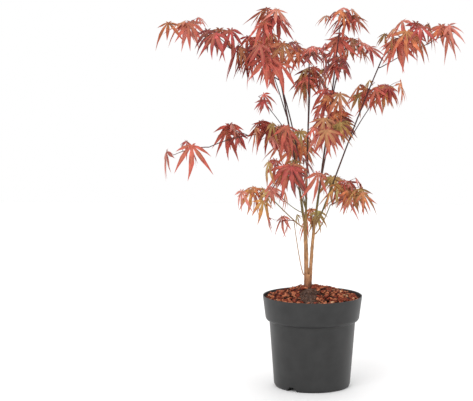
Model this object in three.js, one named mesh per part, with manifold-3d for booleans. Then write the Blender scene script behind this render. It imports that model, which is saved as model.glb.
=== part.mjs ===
// Potted japanese maple: a round nursery pot filled with compost and bark, a short twin trunk, five
// upright stems, their side boughs, and the foliage that the limbs carry.
// Millimetres, +Z up, the front of the plant towards -Y. The origin is the middle of the flat underside.

import * as THREE from "three";
import { mergeVertices } from "three/addons/utils/BufferGeometryUtils.js";
import Module from "manifold-3d";

const wasm = await Module();
wasm.setup();

// Clear space between solids that touch
const gap = 0.3;

// The pot: radii and heights of its outside, and its wall
const rimRadius = 95;
const potHeight = 175;
const collarFootRadius = 89.6;
const collarFootHeight = 132.5;
const bodyTopRadius = 82.2;
const bodyTopHeight = 126;
const bodyFootRadius = 73.1;
const baseRadius = 70.5;
const wall = 1.9;
const potFacets = 40;
const foot = { inset: 0.6, roundHeight: 1.8, height: 5 };
const ledge = { inset: 1.8, drop: 3.5 };
const lip = { inset: 0.7, height: 3 };

// Drainage channels under the pot's edge, each with a drain hole in its roof
const channelAngles = [-122, -2, 118];
const channel = { foot: 22, top: 10, height: 8.5, below: 5, inner: 46 };
const drain = { radius: 4.5, at: 56, depth: 30, facets: 12 };

// The filling: compost heaped to the trunk, with a ring of bark on its slope
const soil = { seat: 185.7, seatRadius: 27, shoulder: 175, shoulderRadius: 48, edge: 162 };
const soilEdgeRadius = THREE.MathUtils.mapLinear(
  soil.edge, collarFootHeight, potHeight, collarFootRadius, rimRadius) - wall - gap;
const bark = { depth: 5, inner: 36, rings: 4, facets: 30, lump: 1.6, edgeThin: 0.5, seed: 12 };

// The trunk: where it stands, and how it flares over its roots
const trunkFoot = { x: -8.5, y: 12, z: soil.seat + gap };
const flare = {
  radius: 9.6, neck: 6.2, height: 30, rises: [0, 0.12, 0.35, 1], narrowing: 4,
  roots: 5, rootSwell: 0.16, rootTurn: 0.6, facets: 20,
};
const ground = { width: 60, depth: 40 };
const leaderShape = { sides: 10, steps: 4 };

// Limbs: sides and steps of their tubes, how far a fork runs straight on, how many radii a side bough
// runs straight out, and how deep in its space a bough's foliage begins
const limbShape = { sides: 6, steps: 5, forkLead: 40, sideLead: 5, entry: 0.72 };

// The two leaders of the trunk: foot, tip, bow at half height, radii at foot and tip
const leaders = [
  { name: "trunk_left", foot: [-12, 12, 186], tip: [-15, 9, 313], bow: [2, 1, 0], radii: [4.5, 3.6] },
  { name: "trunk_right", foot: [-5, 12, 186], tip: [1.5, 14, 294], bow: [-2, 0, 0], radii: [3.6, 2.9] },
];

// Stems and boughs: the limb each grows from and how far along it, its tip or the foliage that it
// feeds, its bow, and its radii at base and tip. At a fork, side is its step across the fork.
const limbRows = [
  { name: "stem_left", from: "trunk_left", at: 1, side: [-2.6, 0, 0], tip: [-76, 24, 652],
    bow: [4, 4, 0], radii: [2.5, 1.2] },
  { name: "stem_centre", from: "trunk_left", at: 1, side: [2.4, 0, 0], tip: [-9, 72, 614],
    bow: [2, -20, 0], radii: [2.2, 1.1] },
  { name: "stem_right", from: "trunk_right", at: 1, side: [0.2, 0, 0], tip: [48, 40, 676],
    bow: [3, -16, 0], radii: [2.5, 1.1] },
  { name: "stem_left_inner", from: "stem_centre", at: 0.27, tip: [-63, -66, 588],
    bow: [13, -8, -8], radii: [1.6, 1.1] },
  { name: "stem_far_right", from: "stem_right", at: 0.1, tip: [128, -22, 628],
    bow: [-9, -4, -8], radii: [1.8, 1.1] },
  { name: "bough_left_mid", from: "stem_left_inner", at: 0.69, tip: [-194, -46, 461],
    bow: [0, 22, 24], radii: [1.2, 0.8] },
  { name: "bough_top_left", from: "stem_left", at: 0.86, tip: [-207, 16, 668],
    bow: [0, 6, 12], radii: [1.2, 0.8] },
  { name: "bough_low_left", from: "trunk_left", at: 0.93, tip: [-82, 42, 358],
    bow: [0, 0, -4], radii: [1.3, 0.9] },
  { name: "bough_low_right", from: "trunk_right", at: 0.97, tip: [32, -22, 350],
    bow: [3, 0, -6], radii: [1.3, 0.9] },
  { name: "bough_trunk_left", from: "trunk_left", at: 0.2, tip: [-36, -4, 318],
    bow: [-3, 0, 0], radii: [1.0, 0.7] },
  { name: "bough_trunk_back", from: "trunk_right", at: 0.72, feeds: "foliage_low_back",
    bow: [0, 2, 4], radii: [1.0, 0.7] },
  { name: "bough_top_left_front", from: "bough_top_left", at: 0.42, feeds: "foliage_top_left_front",
    bow: [0, 0, 3], radii: [0.9, 0.7] },
  { name: "bough_left_near", from: "bough_left_mid", at: 0.14, feeds: "foliage_left_near",
    bow: [0, 0, 3], radii: [0.9, 0.7] },
  { name: "bough_left_small", from: "stem_left_inner", at: 0.63, feeds: "foliage_left_small",
    bow: [0, 0, 3], radii: [0.8, 0.7] },
  { name: "bough_left_between", from: "bough_left_mid", at: 0.56, feeds: "foliage_left_between",
    bow: [0, 0, 3], radii: [0.8, 0.7] },
  { name: "bough_left_low", from: "stem_left", at: 0.12, feeds: "foliage_left_low",
    bow: [0, 0, -3], radii: [0.9, 0.7] },
  { name: "bough_front_low", from: "stem_centre", at: 0.16, feeds: "foliage_front_low",
    bow: [0, 0, 8], radii: [1.2, 0.8] },
  { name: "bough_front_mid", from: "stem_right", at: 0.36, feeds: "foliage_front_mid",
    bow: [0, 0, 6], radii: [1.1, 0.8] },
  { name: "bough_front_upper", from: "stem_right", at: 0.5, feeds: "foliage_front_upper",
    bow: [0, 0, 4], radii: [1.0, 0.7] },
  { name: "bough_front_top", from: "stem_right", at: 0.7, feeds: "foliage_front_top",
    bow: [0, 0, 4], radii: [1.0, 0.7] },
  { name: "bough_centre_back", from: "stem_centre", at: 0.58, feeds: "foliage_centre_back",
    bow: [0, 0, 4], radii: [0.9, 0.7] },
  { name: "bough_right_mid", from: "stem_far_right", at: 0.66, feeds: "foliage_right_mid",
    bow: [0, 0, 4], radii: [1.1, 0.8] },
  { name: "bough_right_tip", from: "stem_far_right", at: 0.96, tip: [214, 16, 652],
    bow: [0, 16, 6], radii: [0.9, 0.7] },
  { name: "bough_top_right_back", from: "stem_right", at: 0.74, feeds: "foliage_top_right_back",
    bow: [0, 0, 6], radii: [1.0, 0.7] },
  { name: "bough_back_left_top", from: "stem_left", at: 0.7, feeds: "foliage_back_left_top",
    bow: [0, 0, 6], radii: [1.1, 0.8] },
  { name: "bough_back_left", from: "stem_centre", at: 0.2, feeds: "foliage_back_left",
    bow: [0, 0, 8], radii: [1.1, 0.8] },
  { name: "bough_back_mid", from: "stem_right", at: 0.34, feeds: "foliage_back_mid",
    bow: [0, 0, 8], radii: [1.1, 0.8] },
  { name: "bough_back_right", from: "stem_right", at: 0.14, feeds: "foliage_back_right",
    bow: [0, 0, 8], radii: [1.1, 0.8] },
];

// Foliage: the limb whose tip carries it, the middle and reach of its space, its number of shoots,
// the length of its blades, how far they hang below level, the side that they face, and its seed
const foliageRows = [
  { name: "foliage_top_left_tip", limb: "bough_top_left", centre: [-251, 20, 675],
    reach: [55, 52, 43], shoots: 1, leaves: 4, blade: 46, droop: 42, face: -110, seed: 15 },
  { name: "foliage_top_left_front", limb: "bough_top_left_front", centre: [-176, -60, 660],
    reach: [51, 49, 40], shoots: 1, leaves: 4, blade: 48, droop: 48, face: -95, seed: 16 },
  { name: "foliage_left_crown", limb: "stem_left_inner", centre: [-94, -110, 622],
    reach: [69, 65, 52], shoots: 3, leaves: 10, blade: 56, droop: 55, face: -95, seed: 31 },
  { name: "foliage_top_left", limb: "stem_left", centre: [-80, 38, 695],
    reach: [50, 54, 47], shoots: 2, leaves: 8, blade: 48, droop: 40, face: -100, seed: 71 },
  { name: "foliage_top_centre", limb: "stem_centre", centre: [-24, 78, 638],
    reach: [50, 56, 42], shoots: 2, leaves: 8, blade: 42, droop: 35, face: -90, seed: 9 },
  { name: "foliage_top_right", limb: "stem_right", centre: [54, 52, 700],
    reach: [52, 52, 42], shoots: 2, leaves: 7, blade: 44, droop: 38, face: -85, seed: 91 },
  { name: "foliage_top_right_back", limb: "bough_top_right_back", centre: [56, 122, 638],
    reach: [88, 56, 48], shoots: 3, leaves: 9, blade: 46, droop: 42, face: 80, seed: 17 },
  { name: "foliage_right_crown", limb: "stem_far_right", centre: [171, -50, 661],
    reach: [60, 60, 60], shoots: 3, leaves: 11, blade: 50, droop: 50, face: -80, seed: 43 },
  { name: "foliage_right_tip", limb: "bough_right_tip", centre: [244, -10, 656],
    reach: [40, 47, 45], shoots: 1, leaves: 4, blade: 46, droop: 45, face: -60, seed: 30 },
  { name: "foliage_front_top", limb: "bough_front_top", centre: [44, -122, 606],
    reach: [37, 43, 34], shoots: 1, leaves: 5, blade: 44, droop: 50, face: -90, seed: 51 },
  { name: "foliage_right_mid", limb: "bough_right_mid", centre: [121, 90, 549],
    reach: [67, 58, 47], shoots: 3, leaves: 9, blade: 48, droop: 52, face: -60, seed: 5 },
  { name: "foliage_centre_back", limb: "bough_centre_back", centre: [-6, 100, 580],
    reach: [50, 49, 50], shoots: 2, leaves: 7, blade: 46, droop: 50, face: 100, seed: 32 },
  { name: "foliage_front_upper", limb: "bough_front_upper", centre: [33, -80, 540],
    reach: [40, 47, 44], shoots: 2, leaves: 7, blade: 46, droop: 58, face: -90, seed: 40 },
  { name: "foliage_front_mid", limb: "bough_front_mid", centre: [30, -140, 494],
    reach: [46, 52, 43], shoots: 2, leaves: 9, blade: 44, droop: 58, face: -85, seed: 17 },
  { name: "foliage_left_near", limb: "bough_left_near", centre: [-74, -78, 487],
    reach: [56, 52, 48], shoots: 2, leaves: 8, blade: 48, droop: 52, face: -95, seed: 65 },
  { name: "foliage_left_small", limb: "bough_left_small", centre: [-92, -2, 543],
    reach: [30, 34, 32], shoots: 0, leaves: 2, blade: 34, droop: 55, face: -95, seed: 68 },
  { name: "foliage_left_between", limb: "bough_left_between", centre: [-152, -12, 474],
    reach: [48, 50, 53], shoots: 1, leaves: 5, blade: 58, droop: 60, face: -95, seed: 42 },
  { name: "foliage_left_tip", limb: "bough_left_mid", centre: [-236, -60, 430],
    reach: [54, 52, 52], shoots: 1, leaves: 3, blade: 52, droop: 62, face: -100, seed: 30 },
  { name: "foliage_front_low", limb: "bough_front_low", centre: [-36, -110, 412],
    reach: [70, 58, 52], shoots: 3, leaves: 10, blade: 50, droop: 58, face: -95, seed: 29 },
  { name: "foliage_left_low", limb: "bough_left_low", centre: [-66, -36, 368],
    reach: [30, 32, 30], shoots: 0, leaves: 2, blade: 36, droop: 55, face: -120, seed: 31 },
  { name: "foliage_low_left", limb: "bough_low_left", centre: [-112, 60, 344],
    reach: [46, 47, 52], shoots: 1, leaves: 5, blade: 44, droop: 58, face: -110, seed: 45 },
  { name: "foliage_trunk_left", limb: "bough_trunk_left", centre: [-54, -22, 306],
    reach: [33, 34, 34], shoots: 0, leaves: 2, blade: 34, droop: 66, face: -95, seed: 15 },
  { name: "foliage_low_right", limb: "bough_low_right", centre: [71, -50, 359],
    reach: [64, 54, 45], shoots: 2, leaves: 8, blade: 44, droop: 58, face: -85, seed: 27 },
  { name: "foliage_low_back", limb: "bough_trunk_back", centre: [0, 62, 312],
    reach: [38, 36, 36], shoots: 0, leaves: 3, blade: 40, droop: 66, face: 90, seed: 54 },
  { name: "foliage_back_left_top", limb: "bough_back_left_top", centre: [-96, 122, 640],
    reach: [60, 58, 49], shoots: 2, leaves: 8, blade: 48, droop: 50, face: 110, seed: 41 },
  { name: "foliage_back_left", limb: "bough_back_left", centre: [-44, 130, 446],
    reach: [60, 58, 48], shoots: 2, leaves: 8, blade: 48, droop: 55, face: 100, seed: 41 },
  { name: "foliage_back_mid", limb: "bough_back_mid", centre: [38, 152, 494],
    reach: [52, 56, 47], shoots: 2, leaves: 7, blade: 48, droop: 55, face: 80, seed: 15 },
  { name: "foliage_back_right", limb: "bough_back_right", centre: [58, 116, 364],
    reach: [56, 54, 45], shoots: 2, leaves: 8, blade: 48, droop: 55, face: 70, seed: 40 },
];

// How square the foliage's spaces are: 2 is an ellipsoid, and more is boxier
const spacePower = 4;

// A leaf: its lobes' angles, lengths and widths as shares of the blade, its fold and curl, the
// heart where the lobes meet, and its stalk
const leaf = {
  lobes: [-76, -37, 0, 37, 76],
  lengths: [0.66, 0.92, 1, 0.92, 0.66],
  halfWidth: 0.088,
  shoulder: 0.46,
  valley: 0.15,
  fold: 0.034,
  curl: 0.1,
  heart: 1.1,
  heartSide: 0.9,
  heartAngle: 115,
  stalk: 0.42,
  stalkRise: 22,
  stalkRoot: 0.3,
};

// How leaves are dealt out: the ranges of their size, hang, roll and stalk, the fan of their headings,
// and the room that each keeps
const dealing = {
  draws: 90,
  sizes: [0.86, 1.08],
  droops: [-18, 24],
  steepest: 84,
  roll: 0.35,
  stalks: [0.5, 1.3],
  fan: 150,
  room: 0.75,
  apart: 1.4,
  farEnough: 60,
  outOfReach: 1.9,
};

// Twigs: radii, how far a leaf's root is sunk, the clear space kept to limbs and neighbours, how far
// they spread at least, and how the shoots leave the stem
const twig = {
  sides: 3,
  stem: 0.85,
  root: 0.4,
  tip: 0.65,
  sunk: 0.8,
  clear: 0.5,
  border: 0.07,
  spread: 0.45,
  bladeRoom: 0.9,
  stemRises: [0.3, 0.45],
  lift: 0.06,
  firstShoot: 0.35,
  shootSpan: 0.5,
  shootRises: [-0.3, 0.6],
  golden: 137.5,
  tries: 4,
  tryShare: 0.35,
  jitter: 0.2,
};

const colours = {
  pot: 0x47494b, compost: 0x3d2c25, bark: 0x8a4a32, trunk: 0xb98a58, stem: 0x4a2f33,
  foliage: [0xa84346, 0x8a3040, 0xb5603a, 0x8f6a34],
};

const up = new THREE.Vector3(0, 0, 1);
const vec = (p) => new THREE.Vector3(...p);
const rad = THREE.MathUtils.degToRad;
const level = (angle) => new THREE.Vector3(Math.cos(angle), Math.sin(angle), 0);

function seeded(seed) {
  let state = seed;
  return () => {
    state = (state * 1664525 + 1013904223) % 4294967296;
    return state / 4294967296;
  };
}

// A geometry from corner points and triangles
function geometryOf(points, faces) {
  const geometry = new THREE.BufferGeometry();
  geometry.setAttribute("position", new THREE.Float32BufferAttribute(points.flat(), 3));
  geometry.setIndex(faces.flat());
  return geometry;
}

function solidOf(geometry) {
  const bare = geometry.clone();
  bare.deleteAttribute("normal");
  bare.deleteAttribute("uv");
  const merged = mergeVertices(bare, 1e-4);
  return new wasm.Manifold(new wasm.Mesh({
    numProp: 3,
    vertProperties: new Float32Array(merged.attributes.position.array),
    triVerts: new Uint32Array(merged.index.array),
  }));
}

function geometryOfSolid(solid) {
  const mesh = solid.getMesh();
  const geometry = new THREE.BufferGeometry();
  geometry.setAttribute("position", new THREE.BufferAttribute(new Float32Array(mesh.vertProperties), 3));
  geometry.setIndex(new THREE.BufferAttribute(new Uint32Array(mesh.triVerts), 1));
  return geometry;
}

// The largest piece of a joined solid, without loose scraps
function largest(solid) {
  return solid.decompose().reduce((best, piece) => (piece.volume() > best.volume() ? piece : best));
}

// A shape turned about Z, its outline running up the outside and closing on the axis
function turned(outline, facets) {
  const profile = outline.map(([radius, height]) => new THREE.Vector2(radius, height));
  const geometry = new THREE.LatheGeometry(profile, facets);
  geometry.rotateX(Math.PI / 2);
  return geometry;
}

// Rings of points joined to a closed skin, with a flat cap at each end
function skinOfRings(rings) {
  const sides = rings[0].length;
  const faces = [];
  for (let ring = 0; ring + 1 < rings.length; ring += 1) {
    for (let side = 0; side < sides; side += 1) {
      const next = (side + 1) % sides;
      const a = ring * sides + side;
      const b = ring * sides + next;
      faces.push([a, b, b + sides], [a, b + sides, a + sides]);
    }
  }
  const last = (rings.length - 1) * sides;
  for (let side = 1; side + 1 < sides; side += 1) {
    faces.push([0, side + 1, side], [last, last + side, last + side + 1]);
  }
  return geometryOf(rings.flat(), faces);
}

// The direction of a path at each of its points
function directionsOf(points) {
  return points.map((_, i) => {
    const before = points[Math.max(i - 1, 0)];
    const after = points[Math.min(i + 1, points.length - 1)];
    return after.clone().sub(before).normalize();
  });
}

// A tapering tube along points, each ring square to its direction
function taperingTube({ points, directions, taper }, sides) {
  let across = new THREE.Vector3(0, -1, 0);
  const rings = points.map((point, i) => {
    const along = directions[i];
    if (Math.abs(along.dot(across)) > 0.95) across = new THREE.Vector3(1, 0, 0);
    across = across.clone().addScaledVector(along, -across.dot(along)).normalize();
    const third = new THREE.Vector3().crossVectors(along, across);
    return Array.from({ length: sides }, (_, side) => {
      const turn = (2 * Math.PI * side) / sides;
      return point.clone()
        .addScaledVector(across, taper[i] * Math.cos(turn))
        .addScaledVector(third, taper[i] * Math.sin(turn))
        .toArray();
    });
  });
  return skinOfRings(rings);
}

// The pot
function channelBar(angle, grow) {
  const half = channel.foot / 2 + grow;
  const halfTop = channel.top / 2 + grow;
  const bar = new THREE.Shape([
    new THREE.Vector2(-half, -channel.below),
    new THREE.Vector2(half, -channel.below),
    new THREE.Vector2(half, 0),
    new THREE.Vector2(halfTop, channel.height + grow),
    new THREE.Vector2(-halfTop, channel.height + grow),
    new THREE.Vector2(-half, 0),
  ]);
  const length = rimRadius - channel.inner + grow;
  const geometry = new THREE.ExtrudeGeometry(bar, { depth: length, bevelEnabled: false });
  const outward = level(rad(angle));
  const sideways = new THREE.Vector3().crossVectors(up, outward);
  const frame = new THREE.Matrix4().makeBasis(sideways, up, outward);
  frame.setPosition(outward.multiplyScalar(channel.inner - grow));
  return solidOf(geometry.applyMatrix4(frame));
}

function potSolid() {
  const outline = [
    [0, 0],
    [baseRadius, 0],
    [bodyFootRadius - foot.inset, foot.roundHeight],
    [bodyFootRadius, foot.height],
    [bodyTopRadius, bodyTopHeight],
    [collarFootRadius - ledge.inset, collarFootHeight - ledge.drop],
    [collarFootRadius, collarFootHeight],
    [rimRadius - lip.inset, potHeight - lip.height],
    [rimRadius, potHeight],
    [rimRadius - wall, potHeight],
    [collarFootRadius - wall, collarFootHeight],
    [bodyTopRadius - wall, bodyTopHeight],
    [bodyFootRadius - wall, foot.height],
    [baseRadius - wall, 2 * gap + wall],
    [0, 2 * gap + wall],
  ];
  const inside = [
    [0, wall],
    [baseRadius, wall],
    [bodyFootRadius - gap, foot.height],
    [bodyTopRadius - gap, bodyTopHeight],
    [0, bodyTopHeight],
  ];
  const room = solidOf(turned(inside, potFacets));
  let solid = solidOf(turned(outline, potFacets));
  for (const angle of channelAngles) {
    const hole = new THREE.CylinderGeometry(drain.radius, drain.radius, drain.depth, drain.facets);
    hole.rotateX(Math.PI / 2).translate(...level(rad(angle)).multiplyScalar(drain.at).toArray());
    solid = solid.add(channelBar(angle, wall).intersect(room))
      .subtract(channelBar(angle, 0))
      .subtract(solidOf(hole));
  }
  return solid;
}

// The filling of the pot
function compostSolid() {
  const inset = wall + gap;
  const outline = [
    [0, 3 * gap + wall],
    [baseRadius - inset, 3 * gap + wall],
    [bodyFootRadius - inset, foot.height],
    [bodyTopRadius - inset, bodyTopHeight],
    [collarFootRadius - inset, collarFootHeight],
    [soilEdgeRadius, soil.edge],
    [soil.shoulderRadius, soil.shoulder],
    [soil.seatRadius, soil.seat],
    [0, soil.seat],
  ];
  let solid = solidOf(turned(outline, potFacets));
  for (const angle of channelAngles) solid = solid.subtract(channelBar(angle, inset));
  return solid;
}

// Height of the compost at a radius
function soilHeight(radius) {
  const low = THREE.MathUtils.mapLinear(
    radius, soil.shoulderRadius, soilEdgeRadius, soil.shoulder, soil.edge);
  const high = THREE.MathUtils.mapLinear(
    radius, soil.seatRadius, soil.shoulderRadius, soil.seat, soil.shoulder);
  return radius > soil.shoulderRadius ? low : high;
}

// Rings of bark: flat-faced below, lumpy above
function barkGeometry() {
  const random = seeded(bark.seed);
  const outer = soilEdgeRadius - 2 * gap;
  const middle = [];
  for (let k = 0; k <= bark.rings; k += 1) {
    const radius = THREE.MathUtils.lerp(bark.inner, outer, k / bark.rings);
    const thin = k === 0 || k === bark.rings ? bark.edgeThin : 1;
    middle.push({ radius, top: bark.depth * thin, lump: bark.lump * thin });
  }
  const loop = [
    { radius: outer, under: true },
    { radius: soil.shoulderRadius, under: true },
    { radius: bark.inner, under: true },
    ...middle,
  ];
  const points = [];
  for (let turn = 0; turn < bark.facets; turn += 1) {
    const outward = level((2 * Math.PI * turn) / bark.facets);
    for (const row of loop) {
      const ground = soilHeight(row.radius) + 3 * gap;
      const height = row.under ? ground : ground + row.top + row.lump * (2 * random() - 1);
      points.push([outward.x * row.radius, outward.y * row.radius, height]);
    }
  }
  const faces = [];
  for (let turn = 0; turn < bark.facets; turn += 1) {
    for (let row = 0; row < loop.length; row += 1) {
      const a = turn * loop.length + row;
      const b = turn * loop.length + ((row + 1) % loop.length);
      const step = loop.length * (turn + 1 === bark.facets ? 1 - bark.facets : 1);
      faces.push([a, b, b + step], [a, b + step, a + step]);
    }
  }
  return geometryOf(points, faces);
}

// Limbs: each is a list of points with a radius at every point
const limbs = {};

function addLimb(name, curve, radii, steps) {
  const points = curve.getPoints(steps);
  const directions = points.map((_, i) => curve.getTangent(i / steps));
  const taper = points.map((_, i) => THREE.MathUtils.lerp(radii[0], radii[1], i / steps));
  limbs[name] = { name, curve, radii, points, directions, taper };
}

// The point and direction of a limb's tube at a share of its length
function stationOf({ points, directions }, share) {
  const last = points.length - 1;
  if (share === 1) return { root: points[last], along: directions[last] };
  const step = Math.floor(share * last);
  const [from, to] = [points[step], points[step + 1]];
  return { root: from.clone().lerp(to, share * last - step), along: to.clone().sub(from).normalize() };
}

// The point inside a space where a limb from a start point gives way to the foliage's own stem
function entryPoint(start, space) {
  const middle = vec(space.centre);
  const back = start.clone().sub(middle);
  const reach = vec(space.reach);
  const share = back.clone().divide(reach).length();
  return middle.addScaledVector(back, limbShape.entry / share);
}

function growLimb(row) {
  const parent = limbs[row.from];
  const { root, along } = stationOf(parent, row.at);
  const space = foliageRows.find((each) => each.name === row.feeds);
  let start;
  let lead;
  if (row.at === 1) {
    start = root.clone().addScaledVector(along, gap).add(vec(row.side));
    lead = start.clone().addScaledVector(along, limbShape.forkLead);
  } else {
    const target = space ? vec(space.centre) : vec(row.tip);
    const away = target.sub(root);
    away.addScaledVector(along, -away.dot(along)).normalize();
    const surface = THREE.MathUtils.lerp(parent.radii[0], parent.radii[1], row.at);
    start = root.clone().addScaledVector(away, surface + gap);
    lead = start.clone().addScaledVector(away, limbShape.sideLead * row.radii[0]);
  }
  const tip = space ? entryPoint(start, space) : vec(row.tip);
  const middle = start.clone().lerp(tip, 0.5).add(vec(row.bow));
  addLimb(row.name, new THREE.CubicBezierCurve3(start, lead, middle, tip), row.radii, limbShape.steps);
}

function growLimbs() {
  for (const row of leaders) {
    const base = vec(row.foot);
    const tip = vec(row.tip);
    const middle = base.clone().lerp(tip, 0.5).add(vec(row.bow));
    addLimb(row.name, new THREE.QuadraticBezierCurve3(base, middle, tip), row.radii, leaderShape.steps);
  }
  for (const row of limbRows) growLimb(row);
}

// The root flare: a lobed ring at the soil that narrows to the neck of the trunk
function flareSolid() {
  const rings = flare.rises.map((rise) => {
    const narrowing = (1 - rise) ** flare.narrowing;
    const radius = THREE.MathUtils.lerp(flare.neck, flare.radius, narrowing);
    return Array.from({ length: flare.facets }, (_, side) => {
      const turn = (2 * Math.PI * side) / flare.facets;
      const swell = 1 + flare.rootSwell * narrowing * Math.cos(flare.roots * turn + flare.rootTurn);
      const outward = level(turn).multiplyScalar(radius * swell);
      return [trunkFoot.x + outward.x, trunkFoot.y + outward.y, trunkFoot.z + rise * flare.height];
    });
  });
  return solidOf(skinOfRings(rings));
}

function trunkSolid() {
  const parts = leaders.map((row) => solidOf(taperingTube(limbs[row.name], leaderShape.sides)));
  const below = new THREE.BoxGeometry(ground.width, ground.width, ground.depth);
  below.translate(trunkFoot.x, trunkFoot.y, trunkFoot.z - ground.depth / 2);
  return largest(wasm.Manifold.union([flareSolid(), ...parts]).subtract(solidOf(below)));
}

// How far a point lies out in a space, a box with well rounded corners: 0 at its middle, 1 on its skin
function shareOut(space, point) {
  const [x, y, z] = space.centre;
  const [a, b, c] = space.reach;
  const shares = [(point.x - x) / a, (point.y - y) / b, (point.z - z) / c];
  return shares.reduce((sum, share) => sum + share ** spacePower, 0) ** (1 / spacePower);
}

// Whether a point is inside its space and well on its own side of every neighbour's
function keepsIn(space, point) {
  const own = shareOut(space, point);
  if (own > 1) return false;
  return foliageRows.every((other) => other === space || shareOut(other, point) > own + twig.border);
}

// The distance between the nearest points of two straight pieces
function distanceBetween(a, b, c, d) {
  const u = b.clone().sub(a);
  const v = d.clone().sub(c);
  const w = a.clone().sub(c);
  const uu = u.dot(u);
  const uv = u.dot(v);
  const vv = v.dot(v);
  const uw = u.dot(w);
  const vw = v.dot(w);
  const clamp = (value) => Math.min(Math.max(value, 0), 1);
  const det = uu * vv - uv * uv;
  let s = det > 1e-9 ? clamp((uv * vw - vv * uw) / det) : 0;
  const t = clamp((uv * s + vw) / vv);
  s = clamp((uv * t - uw) / uu);
  return w.addScaledVector(u, s).addScaledVector(v, -t).length();
}

// Whether a straight piece of some radius stays clear of every limb
function clearOfLimbs(from, to, radius, ownLimb) {
  return Object.values(limbs).every(({ name, points, taper }) => {
    for (let i = 0; i + 1 < points.length; i += 1) {
      if (name === ownLimb && i + 2 === points.length) continue;
      const room = radius + taper[i] + twig.clear;
      if (distanceBetween(from, to, points[i], points[i + 1]) < room) return false;
    }
    return true;
  });
}

// A leaf's frame: its base, the way its middle lobe points, its side, and its upper face
function leafPose(node, heading, droop, roll, blade, stalk) {
  const outward = level(heading);
  const rise = rad(leaf.stalkRise);
  const base = node.clone()
    .addScaledVector(outward, stalk * Math.cos(rise))
    .addScaledVector(up, stalk * Math.sin(rise));
  const point = outward.clone().multiplyScalar(Math.cos(droop)).addScaledVector(up, -Math.sin(droop));
  const face = outward.clone().multiplyScalar(Math.sin(droop)).addScaledVector(up, Math.cos(droop));
  const flat = new THREE.Vector3().crossVectors(face, point);
  const side = flat.clone().multiplyScalar(Math.cos(roll)).addScaledVector(face, Math.sin(roll));
  const top = face.clone().multiplyScalar(Math.cos(roll)).addScaledVector(flat, -Math.sin(roll));
  return { node, base, point, side, top, blade };
}

// A point of a leaf from its distance and angle in the blade and its height above it
function leafPoint(pose, distance, angle, height) {
  return pose.base.clone()
    .addScaledVector(pose.point, distance * Math.cos(angle))
    .addScaledVector(pose.side, distance * Math.sin(angle))
    .addScaledVector(pose.top, height);
}

// Tips and shoulders of a leaf's lobes: the tips curl under, the shoulders fold below the rib
function lobesOf(pose) {
  return leaf.lobes.map((degrees, i) => {
    const angle = rad(degrees);
    const length = pose.blade * leaf.lengths[i];
    const spread = Math.atan2(leaf.halfWidth * pose.blade, leaf.shoulder * length);
    const out = Math.hypot(leaf.halfWidth * pose.blade, leaf.shoulder * length);
    const tipDrop = -leaf.curl * length;
    const shoulderDrop = leaf.shoulder * tipDrop - leaf.fold * pose.blade;
    return {
      tip: leafPoint(pose, length, angle, tipDrop),
      left: leafPoint(pose, out, angle - spread, shoulderDrop),
      right: leafPoint(pose, out, angle + spread, shoulderDrop),
    };
  });
}

// Whether a straight line between two points goes through a triangle
function pierces([from, to], [a, b, c]) {
  const way = to.clone().sub(from);
  const edge = b.clone().sub(a);
  const other = c.clone().sub(a);
  const lever = way.clone().cross(other);
  const scale = edge.dot(lever);
  if (Math.abs(scale) < 1e-9) return false;
  const reach = from.clone().sub(a);
  const u = reach.dot(lever) / scale;
  if (u < 0 || u > 1) return false;
  reach.cross(edge);
  const v = way.dot(reach) / scale;
  if (v < 0 || u + v > 1) return false;
  const share = other.dot(reach) / scale;
  return share > -0.03 && share < 1.03;
}

// What a leaf is tested by: its stalk, ribs and margins as lines, and its lobes as triangles
function outlineOf(pose) {
  const lobes = lobesOf(pose);
  const lines = lobes.flatMap(({ tip, left, right }) => [[pose.base, tip], [left, tip], [right, tip]]);
  const faces = lobes.flatMap(({ tip, left, right }) => [[pose.base, left, tip], [pose.base, tip, right]]);
  return { pose, lobes, lines, faces, stalk: [pose.node, pose.base] };
}

function crosses(one, other) {
  const near = dealing.outOfReach * (one.pose.blade + other.pose.blade);
  if (one.pose.base.distanceTo(other.pose.base) > near) return false;
  const through = (a, b) =>
    [...a.lines, a.stalk].some((line) => b.faces.some((face) => pierces(line, face)));
  return through(one, other) || through(other, one);
}

// Whether a leaf keeps in its space, clear of the limbs and of what its mass has grown so far
function leafFits(space, shape, twigs, leaves) {
  const { pose, lobes } = shape;
  const half = dealing.room * leaf.halfWidth * pose.blade;
  return keepsIn(space, pose.base)
    && lobes.every(({ tip, left, right }) =>
      [tip, left, right, left.clone().lerp(tip, 0.5), right.clone().lerp(tip, 0.5)]
        .every((point) => keepsIn(space, point)))
    && clearOfLimbs(pose.node, pose.base, leaf.heart, space.limb)
    && lobes.every(({ tip }) => clearOfLimbs(pose.base, tip, half, null))
    && twigs.every(([from, to]) => lobes.every(({ tip }) =>
      distanceBetween(pose.base, tip, from, to) > dealing.apart)
      && !shape.faces.some((face) => pierces([from, to], face)))
    && leaves.every((other) => !crosses(shape, other)
      && lobes.every((mine) => other.lobes.every((its) =>
        distanceBetween(pose.base, mine.tip, other.pose.base, its.tip) > dealing.apart)));
}

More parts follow.
